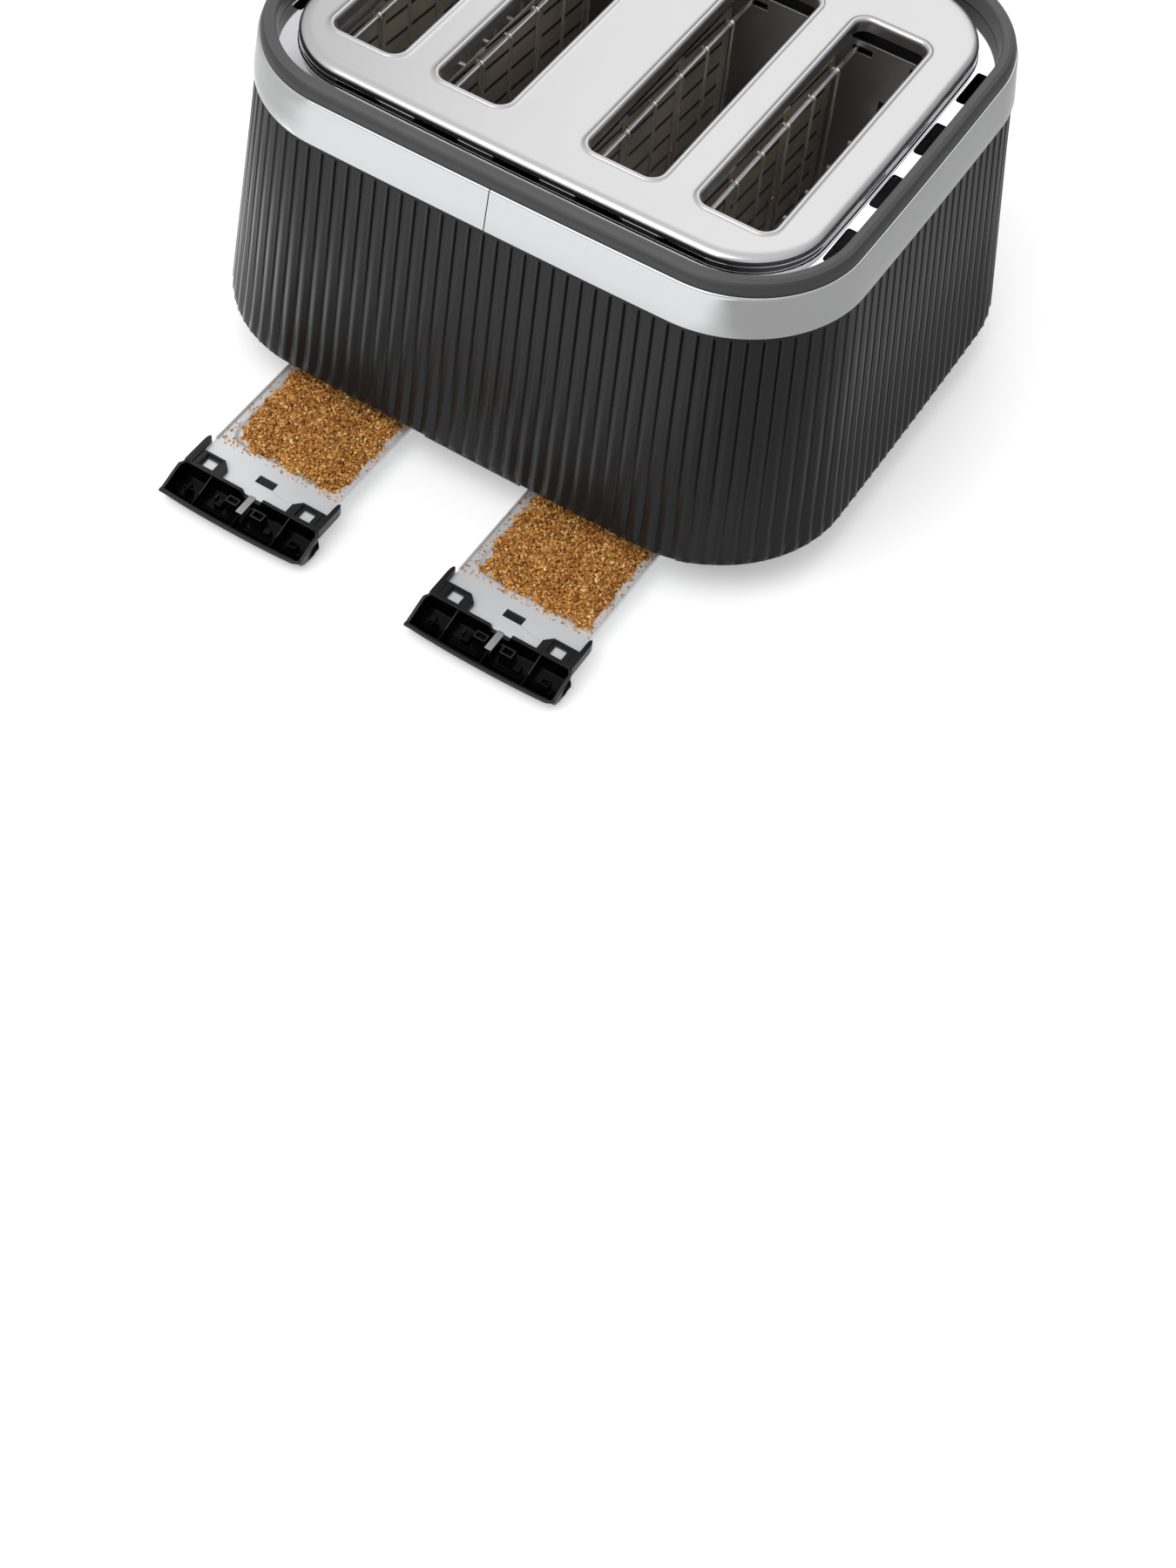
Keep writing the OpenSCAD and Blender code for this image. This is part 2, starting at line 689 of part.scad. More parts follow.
module crumb_tray_left() { crumb_tray(1); }
module crumb_tray_right() { crumb_tray(-1); }

// Scoop-shaped handle, open on top, that clips over the tray's rear edge
scoop_z = 2.6;                  // its lowest point
scoop_top = tray_z + 2.6;       // top of its back wall
lip_z = 6.4;                    // top of its front lip
scoop_d = 21;                   // from its back wall to its lip
scoop_t = 1.8;
tab_x = 28;
function scoop_curve(inset) = [for (i = [0 : 6])
    let (t = 15 * i, r = scoop_d - 11 - inset)
    [11 + r * sin(t), scoop_z + inset + (lip_z - scoop_z) * (1 - cos(t))]];
module scoop_section() {
    polygon(concat(
        [[0, scoop_top], [0, scoop_z + 2], [2, scoop_z]],
        scoop_curve(0),
        [for (i = [6 : -1 : 0]) scoop_curve(scoop_t)[i]],
        [[scoop_t + 1, scoop_z + scoop_t], [scoop_t, scoop_z + scoop_t + 1], [scoop_t, scoop_top]]
    ));
}
module scoop_web() {
    polygon(concat(
        [[0.5, scoop_top - 1], [0.5, scoop_z + 2], [2, scoop_z + 0.5]],
        scoop_curve(0.5),
        [[scoop_d - 3, lip_z - 0.6], [8, scoop_top - 1.5]]
    ));
}
module along_x(x, w) { translate([x - w / 2, back_y, 0]) rotate([90, 0, 90]) linear_extrude(w) children(); }

module tray_handle(side) {
    cx = side * tray_x;
    color([0.07, 0.07, 0.07]) difference() {
        union() {
            along_x(cx, handle_w) scoop_section();
            span([cx - 8, back_y - 16, 7], [cx + 8, back_y + 1, tray_z - tray_t - 0.1]);
            for (x = [-tab_x + 6.5, 0.01, tab_x - 6.5]) along_x(cx + x, 1.2) scoop_web();
            for (e = [-1, 1]) {
                along_x(cx + e * (handle_w / 2 - 0.9), 1.8) scoop_web();
                tab = cx + e * tab_x;
                span([tab - 7.5, back_y - 9, tray_z], [tab + 7.5, back_y + 1, tray_z + 2]);
                arm = cx + e * (tray_w / 2 + 1.2);
                span([arm - 1.1, back_y - 18, tray_z - 2.5], [arm + 1.1, back_y + 1, tray_z + 3]);
            }
        }
        for (tab = [cx - tab_x, cx + tab_x])
            span([tab - 3.4, back_y - 7, tray_z - cut], [tab + 3.4, back_y - 1, tray_z + 4]);
        span([cx - 2.6, back_y - 1, tray_z - tray_t - 0.1], [cx + 2.6, back_y + 7, scoop_top + 4]);
        span([cx - 8, back_y - 1, tray_z - tray_t - 0.1], [cx + 8, back_y + scoop_t + 0.1, scoop_top + 4]);
    }
}
module tray_handle_left() { tray_handle(1); }
module tray_handle_right() { tray_handle(-1); }

outer_shell();
chrome_band_left();
chrome_band_right();
top_rim();
vent_ring();
top_plate();
base_plate();
base_skirt();
rubber_feet();
base_screws();
tray_rails();
cord_gland();
control_panel_left();
control_panel_right();
end_plate_front();
end_plate_rear();
heat_shields();
heater_board_1();
heater_board_2();
heater_board_3();
heater_board_4();
heater_board_5();
heater_board_6();
guide_rods();
rod_brackets();
control_board_left();
control_board_right();
electromagnet_left();
electromagnet_right();
terminal_block();
carriage_spring_left();
carriage_spring_right();
lever_knob_left();
lever_knob_right();
carriage_left();
carriage_right();
bread_rack_1();
bread_rack_2();
bread_rack_3();
bread_rack_4();
bread_guide_1();
bread_guide_2();
bread_guide_3();
bread_guide_4();
bread_guide_5();
bread_guide_6();
bread_guide_7();
bread_guide_8();
browning_knob_left();
browning_knob_right();
cancel_button_left();
cancel_button_right();
defrost_button_left();
defrost_button_right();
reheat_button_left();
reheat_button_right();
crumb_tray_left();
crumb_tray_right();
tray_handle_left();
tray_handle_right();
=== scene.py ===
"""Four-slot pop-up toaster with pleated body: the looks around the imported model."""
import math

import bmesh
import bpy
import numpy as np
from mathutils import Matrix, Vector
from mathutils.geometry import tessellate_polygon
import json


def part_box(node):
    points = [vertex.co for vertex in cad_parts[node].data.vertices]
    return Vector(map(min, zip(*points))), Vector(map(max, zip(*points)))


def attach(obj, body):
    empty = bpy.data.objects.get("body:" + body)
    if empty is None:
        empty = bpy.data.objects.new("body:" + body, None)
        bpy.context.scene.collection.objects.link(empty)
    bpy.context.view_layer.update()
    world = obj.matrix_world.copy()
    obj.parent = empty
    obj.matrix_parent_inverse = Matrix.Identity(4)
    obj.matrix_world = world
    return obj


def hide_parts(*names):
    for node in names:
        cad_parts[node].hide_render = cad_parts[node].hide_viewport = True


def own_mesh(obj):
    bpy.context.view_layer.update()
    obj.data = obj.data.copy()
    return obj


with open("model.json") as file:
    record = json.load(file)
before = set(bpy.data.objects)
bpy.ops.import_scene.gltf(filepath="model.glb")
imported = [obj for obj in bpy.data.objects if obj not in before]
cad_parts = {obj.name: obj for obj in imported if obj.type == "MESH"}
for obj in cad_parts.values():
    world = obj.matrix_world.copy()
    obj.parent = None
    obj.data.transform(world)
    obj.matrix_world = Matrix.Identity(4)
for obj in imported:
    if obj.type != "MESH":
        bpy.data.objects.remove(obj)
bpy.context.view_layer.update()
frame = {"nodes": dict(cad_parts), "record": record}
nodes = frame["nodes"]
scene = bpy.context.scene

# Dimensions of the part, in millimetres
MM = 0.001
HALF_W, DEPTH_LESS, CORNER_R, SIDE_BOW = 150.0, 25.0, 56.3, 1.5
CHROME_TOP, CHROME_H, CHROME_FLARE = 173.6, 20.4, 3.5
BODY_LOW, BODY_FLARE = 22.6, 14.1
CHROME_LOW = CHROME_TOP - CHROME_H
CORNER_CHROME, CORNER_BODY = 4.9, 7.8
LIP_DROP, WALL = 1.3, 2.5
PLATE_TOP, PLATE_INSET = 178.4, 18.0
SLOT_W, SLOT_L, SLOT_Y, SLOT_R = 36.0, 149.4, 8.9, 6.0
SLOT_X = (95.0, 38.9, -38.9, -95.0)
TRAY_X, TRAY_Z, TRAY_BACK, TRAY_W = 70.0, 9.8, 213.0, 72.6
PLEATS = 144


# ---------------------------------------------------------------- camera
def make_camera():
    data = bpy.data.cameras.new("camera")
    camera = bpy.data.objects.new("camera", data)
    scene.collection.objects.link(camera)
    forward = Vector((0.249, -0.5047, -0.8266)).normalized()
    right = Vector((-0.84625, -0.52847, 0.06775))
    right = (right - forward * right.dot(forward)).normalized()
    up = right.cross(forward)
    turn = Matrix((right, up, -forward)).transposed().to_4x4()
    camera.matrix_world = Matrix.Translation((-0.40763, 0.78951, 0.87486)) @ turn
    data.lens, data.sensor_width = 54.756, 36.0
    data.clip_start, data.clip_end = 0.05, 30.0
    scene.camera = camera


make_camera()


# ---------------------------------------------------------------- materials
def new_material(name):
    m = bpy.data.materials.new(name)
    m.use_nodes = True
    tree = m.node_tree
    tree.nodes.clear()
    out = tree.nodes.new("ShaderNodeOutputMaterial")
    shader = tree.nodes.new("ShaderNodeBsdfPrincipled")
    tree.links.new(shader.outputs[0], out.inputs[0])
    return m, tree, shader


def coords(tree, scale=(1, 1, 1)):
    """Object coordinates stretched by scale."""
    tex = tree.nodes.new("ShaderNodeTexCoord")
    mapping = tree.nodes.new("ShaderNodeMapping")
    mapping.inputs["Scale"].default_value = scale
    tree.links.new(tex.outputs["Object"], mapping.inputs["Vector"])
    return mapping.outputs[0]


def noise_tex(tree, vector, scale, detail=3.0, rough=0.5):
    n = tree.nodes.new("ShaderNodeTexNoise")
    n.inputs["Scale"].default_value = scale
    n.inputs["Detail"].default_value = detail
    n.inputs["Roughness"].default_value = rough
    tree.links.new(vector, n.inputs["Vector"])
    return n.outputs["Fac"]


def ramp(tree, fac, stops):
    """Colour ramp through (position, colour) stops."""
    r = tree.nodes.new("ShaderNodeValToRGB")
    e = r.color_ramp.elements
    while len(e) < len(stops):
        e.new(0.5)
    for item, (pos, color) in zip(e, stops):
        item.position = pos
        item.color = (*color, 1)
    tree.links.new(fac, r.inputs[0])
    return r.outputs[0]


def bump(tree, shader, height, strength, distance):
    b = tree.nodes.new("ShaderNodeBump")
    b.inputs["Strength"].default_value = strength
    b.inputs["Distance"].default_value = distance
    tree.links.new(height, b.inputs["Height"])
    tree.links.new(b.outputs[0], shader.inputs["Normal"])


def range_of(tree, value, low, high):
    r = tree.nodes.new("ShaderNodeMapRange")
    r.inputs["To Min"].default_value = low
    r.inputs["To Max"].default_value = high
    tree.links.new(value, r.inputs["Value"])
    return r.outputs[0]


def grey(v):
    return (v, v, v * 1.01)


def plastic(name, color, rough, grain=0.25, spread=0.12, scale=1600.0, specular=0.5, ior=1.5):
    """Moulded plastic: faint mottling, fine grain, roughness that wanders a little."""
    m, tree, shader = new_material(name)
    at = coords(tree)
    broad = noise_tex(tree, at, 18.0, 4.0)
    dark = tuple(c * (1 - spread) for c in color)
    light = tuple(c * (1 + spread) for c in color)
    tree.links.new(ramp(tree, broad, [(0.3, dark), (0.7, light)]), shader.inputs["Base Color"])
    uneven = range_of(tree, noise_tex(tree, at, 60.0, 3.0), rough * 0.9, rough * 1.12)
    tree.links.new(uneven, shader.inputs["Roughness"])
    bump(tree, shader, noise_tex(tree, at, scale, 2.0), grain, 0.0001)
    shader.inputs["Specular IOR Level"].default_value = specular
    shader.inputs["IOR"].default_value = ior
    return m


def steel(name, color, rough, stretch=(1, 1, 1), scale=300.0, mark=0.08, spread=0.05, metallic=1.0):
    """Metal with marks drawn out along one axis."""
    m, tree, shader = new_material(name)
    shader.inputs["Metallic"].default_value = metallic
    drawn = noise_tex(tree, coords(tree, stretch), scale, 4.0, 0.6)
    broad = noise_tex(tree, coords(tree), 14.0, 3.0)
    dark = tuple(c * (1 - spread) for c in color)
    light = tuple(min(1, c * (1 + spread)) for c in color)
    tree.links.new(ramp(tree, broad, [(0.3, dark), (0.7, light)]), shader.inputs["Base Color"])
    tree.links.new(range_of(tree, drawn, max(0.02, rough - mark), rough + mark), shader.inputs["Roughness"])
    return m


def multiply(tree, shader, color, shade, share):
    """Base colour: color multiplied by shade, to the given share."""
    mix = tree.nodes.new("ShaderNodeMix")
    mix.data_type, mix.blend_type = "RGBA", "MULTIPLY"
    mix.inputs[0].default_value = share
    tree.links.new(color, mix.inputs[6])
    tree.links.new(shade, mix.inputs[7])
    tree.links.new(mix.outputs[2], shader.inputs["Base Color"])


def crumb_material():
    """Toasted crumbs: each flake has its own tone, from pale inside to browned crust."""
    m, tree, shader = new_material("crumbs")
    island = tree.nodes.new("ShaderNodeNewGeometry")
    tones = ramp(tree, island.outputs["Random Per Island"],
                 [(0.0, (0.11, 0.034, 0.007)), (0.12, (0.36, 0.125, 0.02)), (0.5, (0.60, 0.265, 0.05)),
                  (0.85, (0.80, 0.43, 0.11)), (1.0, (1.0, 0.72, 0.36))])
    fine = noise_tex(tree, coords(tree), 900.0, 3.0)
    multiply(tree, shader, tones, ramp(tree, fine, [(0.3, (0.6, 0.52, 0.42)), (0.65, (1, 1, 1))]), 0.7)
    shader.inputs["Roughness"].default_value = 0.6
    shader.inputs["Specular IOR Level"].default_value = 0.35
    bump(tree, shader, fine, 0.5, 0.0003)
    return m


def painted_shade_front_rear(material, share):
    """Painted shade: base colour darkened along the front and rear runs, not along the sides, standing in for the
    darker reflections there.
    """
    tree = material.node_tree
    shader = next(n for n in tree.nodes if n.type == "BSDF_PRINCIPLED")
    base = shader.inputs["Base Color"].links[0].from_socket
    place = tree.nodes.new("ShaderNodeSeparateXYZ")
    tree.links.new(coords(tree), place.inputs[0])
    reach = tree.nodes.new("ShaderNodeMath")
    reach.operation = "ABSOLUTE"
    tree.links.new(place.outputs[0], reach.inputs[0])
    # the change runs from 106 to 124 mm either side of the middle
    shade = ramp(tree, range_of(tree, reach.outputs[0], 0.0, 5.0), [(0.53, grey(share)), (0.62, grey(1.0))])
    multiply(tree, shader, base, shade, 1.0)
    return material


MAT = {
    "shell_plastic": plastic("shell_plastic", grey(0.010), 0.28, 0.1, 0.1, ior=1.31),
    "chrome": steel("chrome", (0.56, 0.563, 0.567), 0.045, (1, 1, 1), 40.0, 0.012, 0.01),
    "rim_plastic": plastic("rim_plastic", grey(0.075), 0.48, 0.2, 0.06, specular=0.3),
    # darker copy of the rim plastic for the lower rows of its outer side: painted shade
    "rim_painted_shade": plastic("rim_painted_shade", grey(0.035), 0.42, 0.2, 0.06, specular=0.4),
    # vent steel, darker along its front and rear runs: painted shade
    "vent_steel": painted_shade_front_rear(steel("vent_steel", (0.74, 0.74, 0.74), 0.06, (1, 1, 1), 120.0, 0.02), 0.5),
    "top_steel": steel("top_steel", (0.53, 0.53, 0.533), 0.3, (14, 1, 1), 60.0, 0.02, 0.012),
    "base_plastic": plastic("base_plastic", grey(0.016), 0.5),
    "rubber": plastic("rubber", grey(0.018), 0.8, 0.5),
    "screw_steel": steel("screw_steel", (0.6, 0.6, 0.62), 0.3),
    "galvanised": steel("galvanised", (0.74, 0.75, 0.76), 0.34, (1, 1, 1), 90.0, 0.06, 0.04, metallic=0.35),
    "handle_plastic": plastic("handle_plastic", grey(0.006), 0.36, 0.12, 0.15, ior=1.42),
    # darker, less reflective copy of the handle plastic for inside the tub: painted shade
    "handle_tub_painted_shade": plastic("handle_tub_painted_shade", grey(0.0008), 0.2, 0.08, 0.15, ior=1.2),
    "panel_plastic": plastic("panel_plastic", grey(0.01), 0.16, 0.03, 0.08),
    "chassis_steel": steel("chassis_steel", (0.42, 0.42, 0.42), 0.45, (1, 1, 20), 60.0, 0.1, 0.25),
    "mica": plastic("mica", (0.33, 0.28, 0.225), 0.4, 0.3, 0.35, 700.0),
    "rod_steel": steel("rod_steel", (0.7, 0.7, 0.72), 0.16),
    "circuit_board": plastic("circuit_board", (0.02, 0.11, 0.045), 0.35),
    "coil": steel("coil", (0.6, 0.3, 0.12), 0.3),
    "ceramic": plastic("ceramic", (0.75, 0.74, 0.7), 0.25),
    "spring_steel": steel("spring_steel", (0.5, 0.5, 0.52), 0.25),
    "control_metal": steel("control_metal", (0.7, 0.7, 0.71), 0.22, (1, 1, 1), 200.0, 0.05),
    "wire_steel": steel("wire_steel", (0.98, 0.98, 0.98), 0.3, (1, 1, 1), 200.0, 0.05),
    "crumbs": crumb_material(),
    # polished skirt steel, darker along its front and rear runs: painted shade
    "polished": painted_shade_front_rear(steel("polished", (0.72, 0.72, 0.725), 0.08, (1, 1, 1), 60.0, 0.02), 0.5),
    "ribbon": steel("ribbon", (0.10, 0.095, 0.09), 0.45),
    "signal": plastic("signal", (0.75, 0.76, 0.78), 0.3),
}
for row in frame["record"]["subparts"]:
    skin = nodes[row["node"]].data.materials
    skin.clear()
    skin.append(MAT[row["material_slot"]])


# ---------------------------------------------------------------- mesh helpers
CREASE = 35  # degrees; edges steeper than this stay crisp


def add_object(name, data):
    obj = bpy.data.objects.new(name, data)
    scene.collection.objects.link(obj)
    return obj


def mesh_of(name, bm):
    """A mesh from bm, which is freed."""
    mesh = bpy.data.meshes.new(name)
    bm.to_mesh(mesh)
    bm.free()
    return mesh


def piece_from(name, verts, faces, slot, replaces=()):
    """A piece of the housing from points in millimetres."""
    mesh = bpy.data.meshes.new(name)
    mesh.from_pydata([tuple(c * MM for c in v) for v in verts], [], faces)
    mesh.update()
    obj = add_object(name, mesh)
    mesh.shade_smooth()
    mesh.materials.append(MAT[slot])
    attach(obj, "housing")
    if replaces:
        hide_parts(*replaces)
    return obj


def sharp_edges(obj, degrees=CREASE):
    obj.data.set_sharp_from_angle(angle=math.radians(degrees))


def clean(obj):
    """Make faces point outwards."""
    bm = bmesh.new()
    bm.from_mesh(obj.data)
    bmesh.ops.recalc_face_normals(bm, faces=bm.faces)
    bm.to_mesh(obj.data)
    bm.free()


def loop_faces(rings, count, closed_u=True, closed_v=False):
    """Quads between neighbouring rings of count points each."""
    faces = []
    last = rings if closed_v else rings - 1
    for j in range(last):
        for i in range(count if closed_u else count - 1):
            k, m = (j + 1) % rings, (i + 1) % count
            faces.append((j * count + i, j * count + m, k * count + m, k * count + i))
    return faces


def outline(t, a, b, r):
    """Points and outward normals round the body at fractions t, anticlockwise from the middle of the +X side.
    The fractions are those of the body at mid height, so a pleat keeps its fraction from top to bottom."""
    ra, rb, rr = 163.0, 138.0, 65.0  # half width, half depth and corner radius at mid height
    side_y, side_x, arc = 2 * (rb - rr), 2 * (ra - rr), rr * math.pi / 2
    total = 2 * (side_x + side_y) + 4 * arc
    s = (np.asarray(t, float) % 1.0) * total
    x, y = np.zeros_like(s), np.zeros_like(s)
    cuts = np.cumsum([0, side_y / 2, arc, side_x, arc, side_y, arc, side_x, arc, side_y / 2])
    ax, by = a - r, b - r
    for k in range(9):
        on = (s >= cuts[k]) & (s < cuts[k + 1] + (1e-9 if k == 8 else 0))
        u = (s[on] - cuts[k]) / (cuts[k + 1] - cuts[k])
        if k == 0:
            x[on], y[on] = a, by * u
        elif k == 8:
            x[on], y[on] = a, by * (u - 1)
        elif k == 2:
            x[on], y[on] = ax * (1 - 2 * u), b
        elif k == 4:
            x[on], y[on] = -a, by * (1 - 2 * u)
        elif k == 6:
            x[on], y[on] = ax * (2 * u - 1), -b
        else:
            turn = (k // 2) * math.pi / 2 + u * math.pi / 2
            sx, sy = ((1, 1), (-1, 1), (-1, -1), (1, -1))[k // 2]
            x[on], y[on] = sx * ax + r * np.cos(turn), sy * by + r * np.sin(turn)
    wx = np.clip((np.abs(x) - ax) / r, 0, 1)
    wy = np.clip((np.abs(y) - by) / r, 0, 1)
    px = x + np.sign(x) * SIDE_BOW * np.clip(1 - (y / b) ** 2, 0, None) * wx
    py = y + np.sign(y) * SIDE_BOW * np.clip(1 - (x / a) ** 2, 0, None) * wy
    nx, ny = np.where(np.abs(x) > ax, np.abs(x) - ax, 0), np.where(np.abs(y) > by, np.abs(y) - by, 0)
    length = np.maximum(np.hypot(nx, ny), 1e-9)
    return px, py, np.sign(x) * nx / length, np.sign(y) * ny / length


def flare_at(z):
    if z >= CHROME_LOW:
        return CHROME_FLARE * (CHROME_TOP - z) / CHROME_H
    return CHROME_FLARE + BODY_FLARE * (CHROME_LOW - z) / (CHROME_LOW - BODY_LOW)


def corner_at(z):
    if z >= CHROME_LOW:
        return CORNER_R + CORNER_CHROME * (CHROME_TOP - z) / CHROME_H
    return CORNER_R + CORNER_CHROME + CORNER_BODY * (CHROME_LOW - z) / (CHROME_LOW - BODY_LOW)


def body_ring(t, z, off, dent=0.0):
    """Points round the body at height z, moved out by off, and in along the normal by dent."""
    a = HALF_W + flare_at(z) + off
    x, y, nx, ny = outline(t, a, a - DEPTH_LESS, corner_at(z) + off)
    return list(zip(x - nx * dent, y - ny * dent, np.full(len(x), z)))


def top_ring(t, z, off):
    """Points round the chrome band's upper outline, moved out by off."""
    x, y, _, _ = outline(t, HALF_W + off, HALF_W - DEPTH_LESS + off, CORNER_R + off)
    return list(zip(x, y, np.full(len(x), z)))


def rounded_rect(w, h, r, steps=8):
    """Corner-rounded rectangle about the origin, anticlockwise."""
    points = []
    for k in range(4):
        sx, sy = ((1, 1), (-1, 1), (-1, -1), (1, -1))[k]
        for i in range(steps + 1):
            turn = math.pi / 2 * (k + i / steps)
            points.append((sx * (w / 2 - r) + r * math.cos(turn), sy * (h / 2 - r) + r * math.sin(turn)))
    return points


def smooth_line(points, steps=4):
    """Catmull-Rom curve through the points."""
    p = [np.array(q, float) for q in points]
    p = [2 * p[0] - p[1]] + p + [2 * p[-1] - p[-2]]
    out = []
    for i in range(1, len(p) - 2):
        for s in range(steps):
            u = s / steps
            out.append(0.5 * (2 * p[i] + (p[i + 1] - p[i - 1]) * u
                              + (2 * p[i - 1] - 5 * p[i] + 4 * p[i + 1] - p[i + 2]) * u ** 2
                              + (3 * p[i] - p[i - 1] - 3 * p[i + 1] + p[i + 2]) * u ** 3))
    out.append(p[-2])
    return [tuple(q) for q in out]


# ---------------------------------------------------------------- solid helpers
def add_rows(bm, rings):
    return [[bm.verts.new(Vector(p) * MM) for p in ring] for ring in rings]


def skin_rows(bm, rows):
    """Quads between neighbouring closed rows of vertices."""
    for a, b in zip(rows, rows[1:]):
        for i in range(len(a)):
            k = (i + 1) % len(a)
            bm.faces.new((a[i], a[k], b[k], b[i]))


def fill_between(bm, rows):
    """Flat faces inside the first row and outside the others."""
    every = [v for row in rows for v in row]
    for tri in tessellate_polygon([[v.co.copy() for v in row] for row in rows]):
        bm.faces.new([every[i] for i in tri])


def loft(bm, rings, capped=True, wrapped=False):
    """Skin through equal rings of points in millimetres; wrapped joins the last ring to the first."""
    rows = add_rows(bm, rings)
    skin_rows(bm, rows + rows[:1] if wrapped else rows)
    if capped and not wrapped:
        bm.faces.new(rows[0][::-1])
        bm.faces.new(rows[-1])
    return rows


def box(bm, low, high):
    (x0, y0, z0), (x1, y1, z1) = low, high
    loft(bm, [[(x0, y0, z), (x1, y0, z), (x1, y1, z), (x0, y1, z)] for z in (z0, z1)])


def cup(bm, low, high, wall, depth):
    """Box with a pocket in its top."""
    (x0, y0, z0), (x1, y1, z1) = low, high

    def ring(inset, z):
        return [(x0 + inset, y0 + inset, z), (x1 - inset, y0 + inset, z),
                (x1 - inset, y1 - inset, z), (x0 + inset, y1 - inset, z)]
    loft(bm, [ring(0, z0), ring(0, z1), ring(wall, z1), ring(wall, z1 - depth)])


def tube(bm, points, radius, sides=8):
    """Round bar along a line of points."""
    p = [Vector(q) for q in points]
    rings = []
    normal = None
    for i, at in enumerate(p):
        along = (p[min(i + 1, len(p) - 1)] - p[max(i - 1, 0)]).normalized()
        if normal is None:
            normal = along.orthogonal().normalized()
        normal = (normal - along * normal.dot(along)).normalized()
        other = along.cross(normal)
        rings.append([at + (normal * math.cos(t) + other * math.sin(t)) * radius
                      for t in (2 * math.pi * k / sides for k in range(sides))])
    loft(bm, rings)


def lathe(bm, profile, centre, sides=64, flute=None):
    """Solid turned about an upright axis; flute(turn, row) trims the radius."""
    rings = []
    for row, (r, z) in enumerate(profile):
        ring = []
        for k in range(sides):
            turn = 2 * math.pi * k / sides
            rr = r - (flute(turn, row) if flute else 0)
            ring.append((centre[0] + rr * math.cos(turn), centre[1] + rr * math.sin(turn), centre[2] + z))
        rings.append(ring)
    loft(bm, rings)


def solid_piece(name, bm, slot, body="housing", replaces=(), bevel=0.0, material=None, turn=None):
    """Turns the gathered solids into one piece."""
    bmesh.ops.recalc_face_normals(bm, faces=bm.faces)
    mesh = mesh_of(name, bm)
    if turn is not None:
        mesh.transform(turn)
    obj = add_object(name, mesh)
    mesh.shade_smooth()
    sharp_edges(obj)
    mesh.materials.append(MAT[material or slot])
    if bevel:
        round_edges(obj, bevel)
    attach(obj, body)
    if replaces:
        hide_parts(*replaces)
    return obj


def round_edges(obj, width, weld=False):
    """Bevel of width millimetres; CAD nodes are welded first, as their faces don't share vertices."""
    if weld:
        obj.modifiers.new("weld", "WELD").merge_threshold = 0.00002
    mod = obj.modifiers.new("bevel", "BEVEL")
    mod.width, mod.segments = width * MM, 2
    mod.limit_method, mod.angle_limit = "ANGLE", math.radians(CREASE)
    mod.harden_normals = True


# ---------------------------------------------------------------- pleated body
PANEL_W, PANEL_H, PANEL_R, PANEL_Z = 74.0, 106.0, 8.0, 88.0
LEVER_X = 66.95
TILT = math.atan(BODY_FLARE / (CHROME_LOW - BODY_LOW))
PANEL_Y = -(HALF_W - DEPTH_LESS + CHROME_FLARE + BODY_FLARE * (CHROME_LOW - PANEL_Z) / (CHROME_LOW - BODY_LOW)
            + SIDE_BOW * (1 - (LEVER_X / HALF_W) ** 2) + 1.0)
# a pleat's profile in shares of its pitch: reach of groove and shoulder, and where the shoulder is
GROOVE_HALF, SHOULDER_HALF, SHOULDER_AT = 0.055, 0.045, 0.14


def panel_frame(side):
    """Placement of a panel's own frame: x across, y up the panel, z out of its face."""
    place = Matrix.Translation(Vector((side * LEVER_X, PANEL_Y, PANEL_Z)) * MM)
    return place @ Matrix.Rotation(math.pi / 2 - TILT, 4, "X")


def cut_panel_opening(shell, side):
    bm = bmesh.new()
    shape = rounded_rect(PANEL_W + 0.6, PANEL_H + 0.6, PANEL_R + 0.3, 8)
    loft(bm, [[(x, y, z) for x, y in shape] for z in (-14, 10)])
    bmesh.ops.recalc_face_normals(bm, faces=bm.faces)
    cutter = add_object("cutter", mesh_of("cutter", bm))
    cutter.matrix_world = panel_frame(side)
    mod = shell.modifiers.new("opening", "BOOLEAN")
    mod.operation, mod.solver, mod.object = "DIFFERENCE", "EXACT", cutter
    bpy.context.view_layer.update()
    done = bpy.data.meshes.new_from_object(shell.evaluated_get(bpy.context.evaluated_depsgraph_get()))
    shell.modifiers.clear()
    shell.data = done
    bpy.data.objects.remove(cutter)


